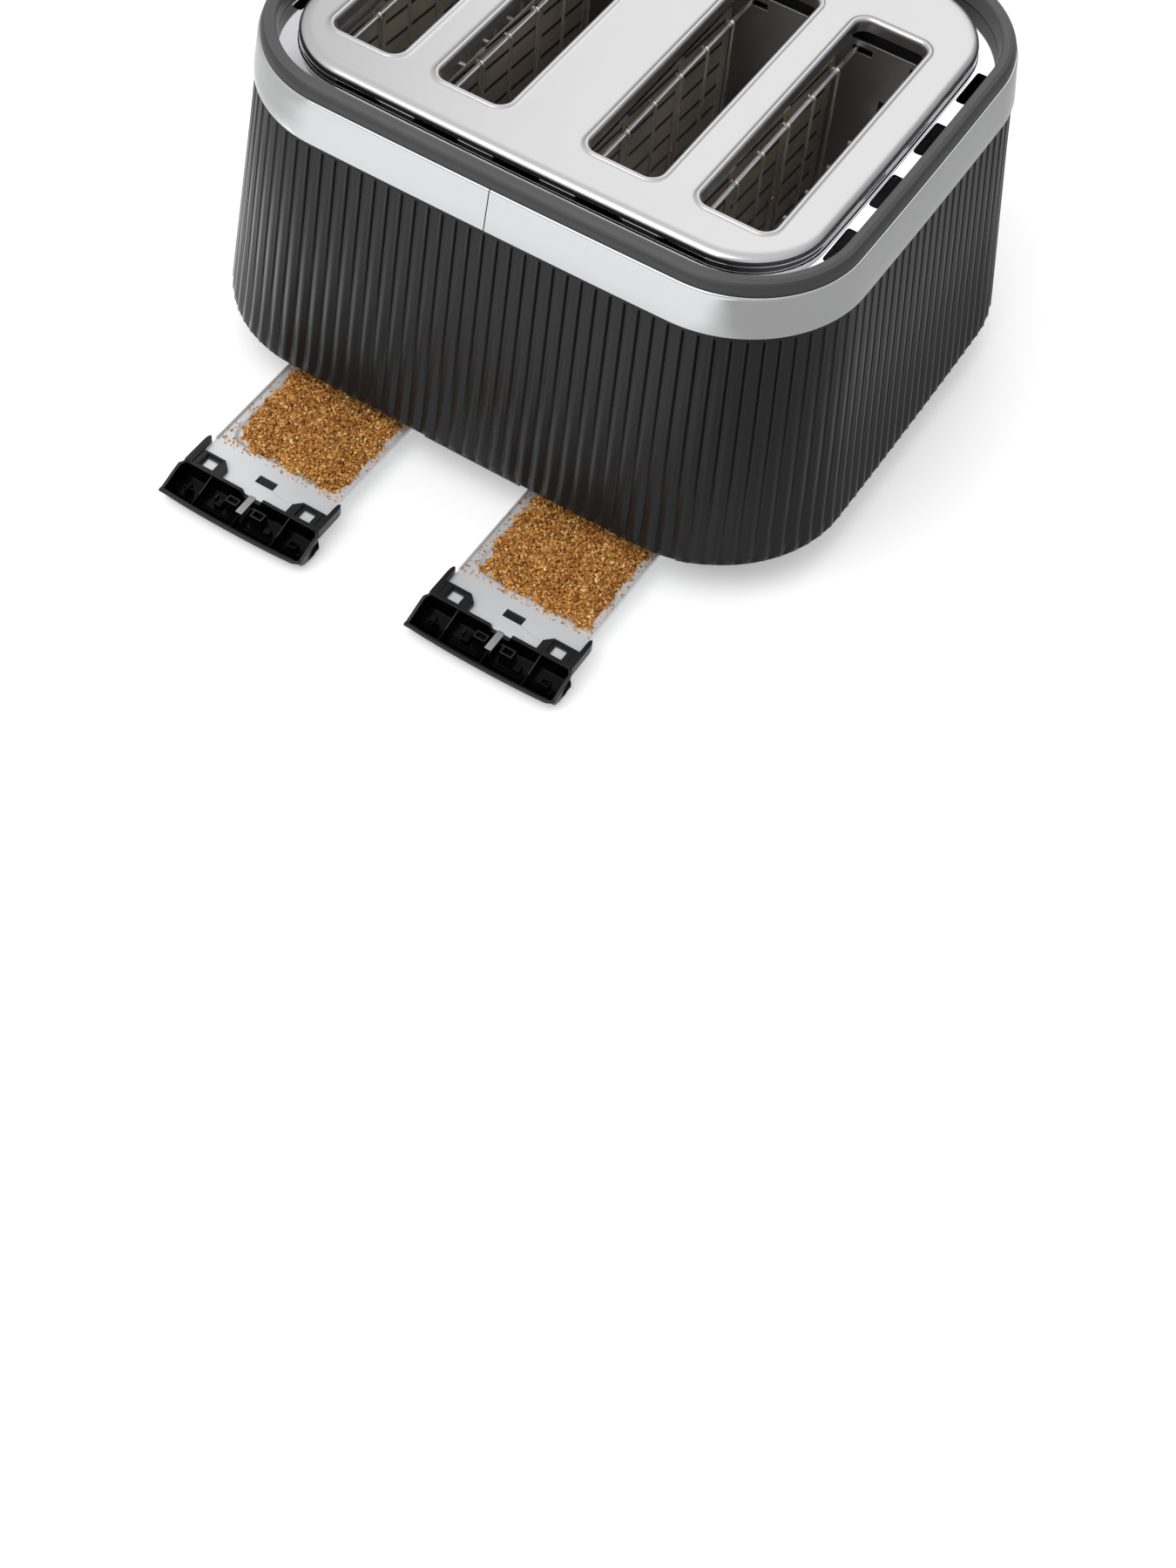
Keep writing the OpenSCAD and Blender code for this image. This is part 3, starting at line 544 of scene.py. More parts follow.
def make_shell():
    """Body with pleats that are sharp grooves at the top and soft waves at the foot."""
    spread = np.array([0, 0.035, 0.07, 0.11, 0.15, 0.19, 0.24, 0.31, 0.40])
    places = np.concatenate([spread, [0.5], 1 - spread[:0:-1]])
    count = PLEATS * len(places)
    t = (np.arange(PLEATS)[:, None] + places[None]).ravel() / PLEATS
    away = np.tile(np.minimum(places, 1 - places), PLEATS)
    groove = np.exp(-(away / GROOVE_HALF) ** 2)
    shoulder = np.exp(-((away - SHOULDER_AT) / SHOULDER_HALF) ** 2)
    wave = 0.5 + 0.5 * np.cos(2 * math.pi * away)
    top = CHROME_LOW - 0.3
    heights = np.concatenate([[BODY_LOW + 0.9], np.linspace(BODY_LOW + 4, top - 5, 20),
                              [top - 3.6, top - 2.9, top - 2.3, top - 1.8, top - 1.0, top]])
    rings = []
    for h in heights:
        share = (top - h) / (top - BODY_LOW)
        sharp = max(0.0, 1 - share * 0.95) ** 0.8
        fade = min(1.0, max(0.0, (top - 1.8 - h) / 1.5))
        low = min(1.0, 0.55 + (h - BODY_LOW) / 20.0)
        dent = fade * low * (sharp * (1.1 * groove - 0.3 * shoulder) + (1 - sharp) * (2.0 * wave - 0.1))
        rings.append(body_ring(t, h, -LIP_DROP * (1 - share), dent))
    inside = ((top, -LIP_DROP - WALL), (BODY_LOW + 8, -WALL), (BODY_LOW + 0.4, -WALL),
              (BODY_LOW, -1.8), (BODY_LOW, -1.2), (BODY_LOW + 0.3, -0.6))
    rings += [body_ring(t, z, off) for z, off in inside]
    verts = [p for ring in rings for p in ring]
    faces = loop_faces(len(rings), count, True, True)
    shell = piece_from("shell_pleats", verts, faces, "shell_plastic", replaces=("outer_shell",))
    clean(shell)
    for side in (1, -1):
        cut_panel_opening(shell, side)
    sharp_edges(shell, 60)


make_shell()


def make_neck():
    """The plain part of the shell that stands in behind the chrome band."""
    steps = 240
    t = np.arange(steps) / steps
    low, high, outer, inner = CHROME_LOW - 0.4, CHROME_TOP - 3, -LIP_DROP - 0.02, -LIP_DROP - WALL
    rows = [(low, outer), (high, outer), (high, inner), (low, inner)]
    verts = [p for z, off in rows for p in body_ring(t, z, off)]
    neck = piece_from("shell_neck", verts, loop_faces(len(rows), steps, True, True), "shell_plastic")
    clean(neck)
    sharp_edges(neck)


make_neck()


def make_chrome():
    """Two half bands that meet at seams front and rear."""
    profile = [(CHROME_LOW, -1.0), (CHROME_LOW, -0.12), (CHROME_LOW + 0.04, -0.03), (CHROME_LOW + 0.12, 0.0),
               (CHROME_LOW + 7, 0.0), (CHROME_LOW + 14, 0.0), (CHROME_TOP - 0.8, 0.0), (CHROME_TOP - 0.4, -0.1),
               (CHROME_TOP - 0.12, -0.36), (CHROME_TOP, -0.75), (CHROME_TOP, -1.3)]
    for name, start in (("left", -0.25), ("right", 0.25)):
        gap = 0.00026  # half the seam, as a share of the way round
        t = np.linspace(start + gap, start + 0.5 - gap, 260)
        verts = [p for z, off in profile for p in body_ring(t, z, off)]
        n, m = len(t), len(profile)
        faces = loop_faces(m, n, False, True)
        faces += [tuple(j * n for j in range(m)), tuple(j * n + n - 1 for j in reversed(range(m)))]
        band = piece_from("chrome_" + name, verts, faces, "chrome", replaces=("chrome_band_" + name,))
        clean(band)
        sharp_edges(band, 50)


make_chrome()


def make_rim():
    """Rim with a rolled top; the lower rows of its outer side take a darker copy of the rim plastic, painted shade for
    the dark reflection there.
    """
    steps, painted_shade_rows = 480, 11
    z0 = CHROME_TOP + 0.2
    line = smooth_line([(-0.95, z0), (-1.0, z0 + 1.4), (-1.3, z0 + 3.0), (-2.2, z0 + 4.5), (-3.5, z0 + 5.6),
                        (-4.3, z0 + 6.05)], 3)
    line += smooth_line([(-4.45, z0 + 6.3), (-4.9, z0 + 6.45), (-5.6, z0 + 6.3), (-6.8, z0 + 6.15), (-7.7, z0 + 5.9),
                         (-8.2, z0 + 5.3), (-8.5, z0 + 4.2), (-8.6, z0 + 2.6)], 3)
    line += [(-8.6, CHROME_TOP - 2.7), (-8.3, CHROME_TOP - 2.7), (-6.8, CHROME_TOP - 2.7), (-4.6, z0)]
    t = np.arange(steps) / steps
    verts = [p for off, z in line for p in top_ring(t, z, off)]
    rim = piece_from("rim_top", verts, loop_faces(len(line), steps, True, True), "rim_plastic", replaces=("top_rim",))
    clean(rim)
    sharp_edges(rim, 50)
    # the lower outer rows take the darker copy: painted shade
    rim.data.materials.append(MAT["rim_painted_shade"])
    for face in rim.data.polygons:
        face.material_index = int(face.index // steps < painted_shade_rows)


make_rim()


# ---------------------------------------------------------------- steel top
def outside(point):
    """Whether a point of the plate belongs to its outer skirt and not to a slot's throat."""
    margin = 4.0
    return not any(abs(point.x / MM - x) < SLOT_W / 2 + margin
                   and abs(point.y / MM - SLOT_Y) < SLOT_L / 2 + margin for x in SLOT_X)


def make_top_plate():
    bm = bmesh.new()
    t = np.arange(360) / 360
    edge = [(-PLATE_INSET - 1, 169.0), (-PLATE_INSET - 0.6, 168.9), (-PLATE_INSET - 0.15, 169.2),
            (-PLATE_INSET, 170.0), (-PLATE_INSET, 172.6), (-PLATE_INSET - 0.25, 173.3), (-PLATE_INSET - 0.15, 174.0)]
    edge += smooth_line([(-PLATE_INSET - 0.1, 174.6), (-PLATE_INSET - 0.5, 176.0), (-PLATE_INSET - 1.5, 177.2),
                         (-PLATE_INSET - 3.1, 178.0), (-PLATE_INSET - 5.0, PLATE_TOP - 0.05),
                         (-PLATE_INSET - 7.0, PLATE_TOP)], 3)
    edge += [(-PLATE_INSET - 8.0, PLATE_TOP)]
    loops = [loft(bm, [top_ring(t, z, off) for off, z in edge], capped=False)[-1]]
    bead = [(0.0, -6.0), (0.0, -2.0)]
    bead += smooth_line([(0.05, -1.2), (0.35, -0.2), (0.95, 0.5), (1.7, 0.75), (2.5, 0.55), (3.2, 0.16), (3.9, 0.0)], 3)
    bead += [(5.0, 0.0)]
    for x in SLOT_X:
        rings = []
        for d, h in bead:
            shape = rounded_rect(SLOT_W + 2 * d, SLOT_L + 2 * d, SLOT_R + d, 10)
            rings.append([(x + px, SLOT_Y + py, PLATE_TOP + h) for px, py in shape])
        loops.append(loft(bm, rings, capped=False)[-1])
    fill_between(bm, loops)
    bmesh.ops.recalc_face_normals(bm, faces=bm.faces)
    mesh = mesh_of("plate_top", bm)
    plate = add_object("plate_top", mesh)
    mesh.shade_smooth()
    mesh.materials.append(MAT["top_steel"])
    mesh.materials.append(MAT["polished"])
    bright_below = 176.8
    for face in mesh.polygons:
        upright = abs(face.normal.z) < 0.9
        face.material_index = int(face.center.z < bright_below * MM and upright and outside(face.center))
    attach(plate, "housing")
    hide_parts("top_plate")


make_top_plate()


# ---------------------------------------------------------------- crumb trays
TRAY_HALF = TRAY_W / 2
RECESS_BACK, RECESS_HALF = 190.0, 32.0


def tray_sheet(bm, cx):
    """Steel sheet with a pressed recess and a latch hole."""
    def rect(x0, x1, y0, y1, r, z, steps=5):
        shape = rounded_rect(x1 - x0, y1 - y0, r, steps)
        return [(cx + (x0 + x1) / 2 + px, (y0 + y1) / 2 + py, z) for px, py in shape]
    outer = rect(-TRAY_HALF, TRAY_HALF, 8, TRAY_BACK, 1.5, TRAY_Z)
    hole = rect(-5.2, 5.2, 199.5, 204.5, 0.5, TRAY_Z)
    drops = [(-1.5, 0), (0, 0), (0.4, 0.1), (0.9, 0.45), (1.4, 0.85), (2.0, 0.98), (3.0, 1.0)]
    recess = [rect(-RECESS_HALF + d, RECESS_HALF - d, 12 + d, RECESS_BACK - d, 9 - d, TRAY_Z - h, 8)
              for d, h in drops]
    rows = add_rows(bm, [outer, hole] + recess)
    fill_between(bm, rows[:3])
    skin_rows(bm, rows[2:])
    bm.faces.new(rows[-1])


def make_tray(name, cx, body, node):
    bm = bmesh.new()
    tray_sheet(bm, cx)
    bmesh.ops.recalc_face_normals(bm, faces=bm.faces)
    if sum(f.normal.z * f.calc_area() for f in bm.faces) < 0:
        bmesh.ops.reverse_faces(bm, faces=bm.faces)
    mesh = mesh_of(name, bm)
    sheet = add_object(name, mesh)
    mesh.shade_smooth()
    mesh.set_sharp_from_angle(angle=math.radians(40))
    mesh.materials.append(MAT["galvanised"])
    thick = sheet.modifiers.new("thick", "SOLIDIFY")
    thick.thickness, thick.offset = 0.8 * MM, -1
    round_edges(sheet, 0.15)
    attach(sheet, body)
    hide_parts(node)

    bm = bmesh.new()
    for e in (-1, 1):
        curl = [(0.02, -0.05), (0.02, 1.1), (-0.15, 1.5), (-0.5, 1.6), (-0.8, 1.3), (-0.85, 0.9), (-0.7, 0.5),
                (-0.7, -0.05)]
        loft(bm, [[(cx + e * (TRAY_HALF + u), y, TRAY_Z + w) for u, w in curl] for y in (8.5, 60, 120, 170, 193.5)])
    solid_piece(name + "_edges", bm, "galvanised", body, bevel=0.12)
    bm = bmesh.new()
    tongue = [(-1.8, 0), (1.8, 0), (1.8, -0.8), (-1.8, -0.8)]
    droop = ((TRAY_BACK - 0.5, 0), (217, 0), (220, 0.05), (224.3, 0.25))
    loft(bm, [[(cx + u, y, TRAY_Z + w - drop) for u, w in tongue] for y, drop in droop])
    solid_piece(name + "_tongue", bm, "galvanised", body, bevel=0.12, material="chassis_steel")


def make_handle(name, cx, body, node):
    """Scoop handle: open tub with end walls and webs, two clip tabs and two arms."""
    back = TRAY_BACK
    bm = bmesh.new()

    def pinch(y):
        return 0.93 + 0.07 * min(1.0, y / 4.0)

    def bulge(x):
        u = abs(x) / 40.5
        corner = 0.09 * max(0.0, u - 0.92) / 0.08 if x < 0 else -0.015 * max(0.0, u - 0.94) / 0.06
        return 1.0 - 0.075 * u ** 2.4 - corner

    # across the tub, as (y, z); None is the top of the wall next to the tray, which dips at the middle
    section = [(0, None), (0, 5.0), (0.5, 3.7), (1.4, 2.95), (2.6, 2.6), (9, 2.6), (12.5, 2.75), (15.5, 3.2), (18, 4.1),
               (19.9, 5.0), (21.0, 5.9), (21.3, 6.7), (20.9, 7.25), (20.0, 7.45), (18.9, 7.2), (18.1, 6.3), (17, 4.9),
               (15, 4.2), (12, 3.9), (4.4, 3.9), (2.9, 4.4), (2.0, 5.6), (1.8, 7.5), (1.8, None)]
    stations = [-40.5, -39.8, -38.6, -36.5, -33, -28, -22, -16, -11, -8.2, -7.3, -6.7, -5.9, -5.5, 0,
                4.6, 5.0, 5.8, 6.4, 7.4, 11, 16, 22, 28, 33, 36.5, 38.6, 39.8, 40.5]
    rings = []
    for x in stations:
        low = min(max((abs(x + 0.4) - 5.2) / 1.3, 0.0), 1.0)
        top = 9.0 + 3.4 * math.sin(low * math.pi / 2)
        rings.append([(cx + x * pinch(y), back + y * (bulge(x) if y > 2.7 else 1), top if z is None else z)
                      for y, z in section])
    loft(bm, rings)
    wall = [(0.05, 4.8), (0.5, 3.65), (1.5, 2.9), (2.7, 2.65), (9, 2.65), (12.5, 2.8), (15.5, 3.25), (17.8, 4.2),
            (19.0, 5.3), (19.2, 6.9), (17.5, 7.5), (14, 8.6), (9, 10.4), (4, 11.8), (0.6, 12.35)]
    for e in (-1, 1):
        shrink = 0.95 if e < 0 else 0.99
        loft(bm, [[(cx + e * x * pinch(y), back + y * shrink, z) for y, z in wall] for x in (40.45, 38.8)])
    for x, first in ((22.5, 1.0), (-0.2, 11.6), (-22.5, 1.0)):
        web = [(first, 4.2), (17.0, 4.6), (18.6, 6.2), (18.4, 6.9), (15, 7.4), (12, 8.3)]
        web += [(first, 9.0)] if first > 5 else [(7, 10.0), (3, 11.3), (first, 11.9)]
        loft(bm, [[(cx + x + w, back + y, z) for y, z in web] for w in (-0.32, 0.32)])
    for e in (-1, 1):
        border = [(18.8, -5.8), (22.6, -9.6), (28, -9.6), (36.9, -9.6), (36.9, -4), (36.9, 0.8), (28, 0.8), (18.8, 0.8)]
        square = [(24.9, -4), (24.9, -7.2), (28, -7.2), (31.3, -7.2), (31.3, -4), (31.3, -1.2), (28, -1.2),
                  (24.9, -1.2)]
        wide = [(23.2, -4), (23.2, -8.4), (28, -8.4), (31.8, -8.4), (31.8, -4), (31.8, -0.9), (28, -0.9), (23.2, -0.9)]
        rows = [(border, TRAY_Z + 0.02), (border, 12.1), (wide, 12.1), (wide, 11.0), (square, 11.0),
                (square, TRAY_Z + 0.02)]
        loft(bm, [[(cx + e * u, back + v, z) for u, v in shape] for shape, z in rows], wrapped=True)
        arm = [(36.5, 1.2), (36.5, -14.5), (36.7, -17.2), (37.3, -18.0), (38.1, -17.8), (38.7, -16.2), (38.9, -14),
               (38.9, 1.2)]
        loft(bm, [[(cx + e * u, back + v, z) for u, v in arm] for z in (7.4, 12.9)])
        ledge = [(35.2, -9), (36.6, -9), (36.6, 0.8), (35.2, 0.8)]
        loft(bm, [[(cx + e * u, back + v, z) for u, v in ledge] for z in (11.5, 12.7)])
        box(bm, (cx + e * 33.4 - 1.2, back - 8.6, 12.0), (cx + e * 33.4 + 0.2, back - 0.6, 12.5))
    box(bm, (cx - 8, back - 16, 7.0), (cx + 8, back + 1, 8.85))
    cup(bm, (cx + 3.2, back + 4.6, 4.2), (cx + 9.8, back + 9.0, 9.7), 0.9, 1.6)
    box(bm, (cx + 11.0, back + 6.8, 4.2), (cx + 14.6, back + 11.6, 6.8))
    box(bm, (cx + 14.6, back + 6.8, 4.2), (cx + 15.4, back + 9.4, 8.4))
    cup(bm, (cx - 11.8, back + 4.8, 4.2), (cx - 5.0, back + 9.8, 9.5), 1.0, 2.6)
    box(bm, (cx - 5.2, back + 4.8, 4.2), (cx - 4.0, back + 6.2, 9.5))
    box(bm, (cx - 17.6, back + 8.6, 4.2), (cx - 14.2, back + 12.2, 6.4))
    cup(bm, (cx - 33.2, back + 8.6, 4.2), (cx - 28.6, back + 12.6, 7.2), 0.7, 1.8)
    box(bm, (cx - 36.0, back + 12.8, 4.2), (cx - 34.6, back + 13.8, 5.6))
    box(bm, (cx + 29.4, back + 7.6, 4.2), (cx + 30.2, back + 13.2, 7.6))
    box(bm, (cx + 27.0, back + 10.0, 4.2), (cx + 32.6, back + 10.8, 7.0))
    for y in (12.6, 14.4):
        box(bm, (cx + 4, back + y, 4.25), (cx + 19, back + y + 0.4, 4.8 + (y - 12) * 0.1))
        box(bm, (cx - 19, back + y, 4.25), (cx - 5, back + y + 0.4, 4.8 + (y - 12) * 0.1))
    handle = solid_piece(name, bm, "handle_plastic", body, (node,), bevel=0.3)
    # Faces inside the tub take the darker copy: painted shade for the hollow.
    handle.data.materials.append(MAT["handle_tub_painted_shade"])
    for face in handle.data.polygons:
        x, y, z = (face.center / MM)[:]
        in_tub_shade = back + 1.7 < y < back + 17.9 and abs(x - cx) < 38.9 and 3.0 < z < 11.6
        face.material_index = int(in_tub_shade and face.normal.z > -0.5 and not (z > 8.3 and abs(face.normal.z) > 0.6))


# ---------------------------------------------------------------- toast crumbs
def crumb_edge(x, seed):
    """How far back the crumbs reach at a distance x from the tray's centre line."""
    wave = 1.6 * math.sin(x * 0.33 + seed) + 1.1 * math.sin(x * 0.81 + 2.1 * seed) + 0.6 * math.sin(x * 2.3 + seed)
    return 190.2 + wave - (3.2 if x > 22 else 0.0)


def crumb_side(y, seed, left):
    """Half width of the crumbs at depth y."""
    wave = 1.0 * math.sin(y * 0.35 + seed) + 0.8 * math.sin(y * 0.9 + 3 * seed)
    far = 32.4 + wave
    if left:
        return far - (2.6 if y > 172 else 0.0)
    return far + 0.6


def icosphere():
    bm = bmesh.new()
    bmesh.ops.create_icosphere(bm, subdivisions=1, radius=1.0)
    verts = np.array([v.co[:] for v in bm.verts])
    faces = np.array([[v.index for v in f.verts] for f in bm.faces])
    bm.free()
    return verts, faces


def make_crumbs(name, cx, body, seed):
    """A bed of lumpy crumbs filling the recess, and flakes strewn over it and past its edge."""
    draw = np.random.default_rng(seed)
    ball, ball_faces = icosphere()
    spots = []
    step, hidden = 1.05, 100  # spacing; nearer the front than hidden, under the body, the bed is thinner
    layers = ((TRAY_Z - 0.7, 1.0), (TRAY_Z + 0.15, 0.95), (TRAY_Z + 0.95, 0.85), (TRAY_Z + 1.7, 0.35))
    for layer, (base, keep) in enumerate(layers):
        for gx in np.arange(-35, 35, step):
            for gy in np.arange(14, 195, step):
                x, y = gx + draw.uniform(-0.5, 0.5), gy + draw.uniform(-0.5, 0.5)
                edge = min(crumb_edge(x, seed) - y, x + crumb_side(y, seed, False), crumb_side(y, seed, True) - x)
                if edge < 0.4 + 1.0 * layer or draw.random() > keep or (y < hidden and layer != 1):
                    continue
                spots.append((x, y, base + draw.uniform(-0.2, 0.35), draw.uniform(0.5, 0.95)))
    for _ in range(520):  # loose flakes along the edges
        y = draw.uniform(20, 193)
        x = draw.choice((-1, 1)) * draw.uniform(31, 35.2) if draw.random() < 0.72 else draw.uniform(-34, 34)
        if abs(x) < 31 and y < 185:
            y = draw.uniform(187, 193.5)
        spots.append((x, min(y, 193.5), TRAY_Z + draw.uniform(0.15, 0.4), draw.uniform(0.25, 0.6)))
    spots = np.array(spots)
    n = len(spots)
    size = spots[:, 3:4] * np.stack(
        [draw.uniform(0.75, 1.45, n), draw.uniform(0.6, 1.1, n), draw.uniform(0.35, 0.85, n)], 1)
    draw.normal(size=(n, 3))  # these two draws have no use, but those after them depend on them
    draw.uniform(0, math.pi, n)
    lump = 1 + draw.uniform(-0.28, 0.28, (n, len(ball)))
    points = ball[None] * lump[:, :, None] * size[:, None, :]
    spin = draw.uniform(0, 2 * math.pi, n)
    tip = draw.normal(0, 0.55, n)
    c, s = np.cos(tip)[:, None], np.sin(tip)[:, None]
    px, py, pz = points[..., 0], points[..., 1], points[..., 2]
    px, pz = px * c - pz * s, px * s + pz * c
    c, s = np.cos(spin)[:, None], np.sin(spin)[:, None]
    px, py = px * c - py * s, px * s + py * c
    points = np.stack([px + spots[:, 0:1] + cx, py + spots[:, 1:2], pz + spots[:, 2:3]], -1)
    # no crumb reaches down through the sheet, which is lower over the recess
    over_floor = ((np.abs(points[..., 0] - cx) < RECESS_HALF - 3)
                  & (points[..., 1] > 15) & (points[..., 1] < RECESS_BACK - 3))
    points[..., 2] = np.maximum(points[..., 2], TRAY_Z - np.where(over_floor, 0.98, 0.4))
    faces = (ball_faces[None] + (np.arange(n) * len(ball))[:, None, None]).reshape(-1, 3)
    mesh = bpy.data.meshes.new(name)
    mesh.from_pydata((points.reshape(-1, 3) * MM).tolist(), [], faces.tolist())
    mesh.update()
    obj = add_object(name, mesh)
    mesh.materials.append(MAT["crumbs"])
    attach(obj, body)


for side, tag, seed in ((1, "left", 3), (-1, "right", 5)):
    make_tray("tray_plate_" + tag, side * TRAY_X, "tray_" + tag, "crumb_tray_" + tag)
    make_handle("handle_" + tag, side * TRAY_X, "tray_" + tag, "tray_handle_" + tag)
    make_crumbs("crumbs_" + tag, side * TRAY_X, "tray_" + tag, seed)


# ---------------------------------------------------------------- heating elements and bread guides
FRONT_Y, REAR_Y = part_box("end_plate_front")[0].y / MM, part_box("end_plate_rear")[1].y / MM
END_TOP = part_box("end_plate_front")[1].z / MM
BOARD_GAP, BOARD_LOW, BOARD_TOP = 28.1, 40.0, END_TOP - 13.0
BOARD_X = (SLOT_X[0] + BOARD_GAP, SLOT_X[1] + BOARD_GAP, SLOT_X[1] - BOARD_GAP,
           SLOT_X[2] + BOARD_GAP, SLOT_X[2] - BOARD_GAP, SLOT_X[3] - BOARD_GAP)
STRAP_Y = (-64.0, -20.0, 30.0, 80.0)


def make_board(k, x):
    """Mica board with its winding, four upright straps and rivets."""
    node = "heater_board_%d" % (k + 1)
    bm = bmesh.new()
    front, rear = FRONT_Y + 1.2, REAR_Y - 1.2
    notch = []
    for i in range(41):
        z = BOARD_LOW + (BOARD_TOP - BOARD_LOW) * i / 40
        notch.append((rear - (0.8 if i % 4 == 1 else 0), z))
    edge = notch + [(front + (0.8 if i % 4 == 1 else 0), z) for i, (_, z) in reversed(list(enumerate(notch)))]
    loft(bm, [[(x + w, y, z) for y, z in edge] for w in (-0.4, 0.4)])
    solid_piece("mica_%d" % (k + 1), bm, "mica", replaces=(node,))
    bm = bmesh.new()
    bays = (front + 2,) + STRAP_Y[1:3] + (rear - 2,)
    flat = ((-0.12, -0.75), (0.12, -0.75), (0.12, 0.75), (-0.12, 0.75))
    for w in (-0.62, 0.62):
        for a, b in zip(bays, bays[1:]):
            for j in range(9):
                z = BOARD_LOW + 8 + 12.7 * j
                ends = ((a + 3, z - 1.5), (b - 3, z + 1.8))
                loft(bm, [[(x + w + t, y, zz + h) for t, h in flat] for y, zz in ends])
    solid_piece("ribbon_%d" % (k + 1), bm, None, material="ribbon")
    bm = bmesh.new()
    for y in STRAP_Y:
        strap = [(-1.0, 1.4), (-1.15, 2.6), (-0.7, 3.1), (0.7, 3.1), (1.15, 2.6), (1.0, 1.4),
                 (1.0, -1.4), (1.15, -2.6), (0.7, -3.1), (-0.7, -3.1), (-1.15, -2.6), (-1.0, -1.4)]
        loft(bm, [[(x + u, y + v, z) for u, v in strap] for z in (BOARD_LOW + 0.3, 60, 80, 100, 120, BOARD_TOP - 0.2)])
    solid_piece("straps_%d" % (k + 1), bm, None, material="mica", bevel=0.2)
    bm = bmesh.new()
    for y in STRAP_Y[1:3]:
        for z in (52, 98, BOARD_TOP - 6):
            turns = [2 * math.pi * i / 14 for i in range(14)]
            loft(bm, [[(x + w, y + r * math.cos(t), z + r * math.sin(t)) for t in turns]
                      for w, r in ((-1.9, 0.9), (-1.6, 1.5), (-1.0, 1.7), (1.0, 1.7), (1.6, 1.5), (1.9, 0.9))])
    solid_piece("rivets_%d" % (k + 1), bm, "coil")


def make_guide(k, x):
    """Wire grid beside a slot; each upright hooks over the top wire."""
    top, low, thick, thin = END_TOP - 5, 44.0, 1.15, 0.8
    bm = bmesh.new()
    for z in (top, low):
        tube(bm, [(x, y, z) for y in np.linspace(FRONT_Y - 1.5, REAR_Y + 1.5, 12)], thick, 10)
    side = 1 if k % 2 == 0 else -1
    reach = thick + thin * 0.8
    for i in range(6):
        y = -47 + 23.4 * i
        line = [(x + side * reach, y, low + 1), (x + side * reach, y, top - 1.5)]
        line += [(x + side * reach * math.cos(t), y, top + reach * math.sin(t))
                 for t in np.linspace(0, math.pi * 1.15, 9)]
        tube(bm, line, thin, 8)
        tube(bm, [(x + side * reach * math.cos(t), y, low + reach * math.sin(t))
                  for t in np.linspace(0.2, -math.pi, 8)], thin, 8)
    solid_piece("guide_wires_%d" % k, bm, "wire_steel", "guide_%d" % k, ("bread_guide_%d" % k,))


for k, x in enumerate(BOARD_X):
    make_board(k, x)
for k in range(8):
    low_corner, high_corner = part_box("bread_guide_%d" % (k + 1))
    make_guide(k + 1, (low_corner.x + high_corner.x) / 2 / MM)


# ---------------------------------------------------------------- lift springs
ROD_Y, SPRING_LOW, SPRING_HIGH, SPRING_R, SPRING_WIRE = -95.0, 24.1, 104.9, 5.1, 0.5
for side, tag in ((1, "left"), (-1, "right")):
    bm = bmesh.new()
    turns, per = 15, 20
    line = []
    for i in range(turns * per + 1):
        u = i / (turns * per)
        span = SPRING_HIGH - SPRING_LOW - 2 * SPRING_WIRE
        z = SPRING_LOW + SPRING_WIRE + span * (u + 0.012 * math.sin(2 * math.pi * u))
        t = 2 * math.pi * i / per
        line.append((side * LEVER_X + SPRING_R * math.cos(t), ROD_Y + SPRING_R * math.sin(t), z))
    tube(bm, line, SPRING_WIRE, 6)
    spring = solid_piece("coil_spring_" + tag, bm, "spring_steel", replaces=("carriage_spring_" + tag,))
    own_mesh(spring)


# ---------------------------------------------------------------- controls
KNOB_Z, BUTTON_X, BUTTON_ZS = 46.5, -23.0, (92.0, 107.0, 122.0)


def make_controls(side, tag):
    """Dial with fluted grip and pointer, scale ticks and button lights of one panel."""
    place = panel_frame(side)
    low = KNOB_Z - PANEL_Z
    bm = bmesh.new()
    profile = [(0.01, 0.85), (14.2, 0.85), (14.5, 1.1), (14.5, 2.4), (14.1, 2.8), (13.1, 3.0), (13.0, 3.4),
               (12.8, 11.2), (12.6, 12.0), (12.0, 12.7), (11.3, 13.0), (10.9, 12.8), (10.5, 12.75), (0.01, 12.9)]

    def flute(turn, row):
        return 0.28 * (0.5 + 0.5 * math.cos(turn * 40)) if 6 <= row <= 8 else 0.0
    lathe(bm, profile, (0, low, 0), 240, flute)
    lathe(bm, [(0.01, -15.4), (3.0, -15.4), (3.0, 1.0), (0.01, 1.0)], (0, low, 0), 32)
    solid_piece("dial_" + tag, bm, "control_metal", "knob_" + tag, ("browning_knob_" + tag,), turn=place)
    bm = bmesh.new()
    box(bm, (-0.45, low + 4.5, 12.6), (0.45, low + 11.6, 13.15))
    solid_piece("dial_mark_" + tag, bm, None, "knob_" + tag, material="handle_plastic", bevel=0.1, turn=place)
    bm = bmesh.new()
    for k in range(11):
        t = math.radians(-45 + 27 * k)
        r0, r1, w = 17.4, (20.4 if k % 2 == 0 else 19.0), 0.35
        c, s = math.cos(t), math.sin(t)
        ring = [(r0 * c - w * s, low + r0 * s + w * c), (r0 * c + w * s, low + r0 * s - w * c),
                (r1 * c + w * s, low + r1 * s - w * c), (r1 * c - w * s, low + r1 * s + w * c)]
        loft(bm, [[(px, py, z) for px, py in ring] for z in (-0.1, 0.12)])
    for z in BUTTON_ZS:
        lamp = [(0.01, -0.1), (1.0, -0.1), (1.0, 0.25), (0.7, 0.45), (0.01, 0.5)]
        lathe(bm, lamp, (BUTTON_X + 11.5, z - PANEL_Z, 0), 20)
    solid_piece("panel_marks_" + tag, bm, None, material="signal", turn=place)


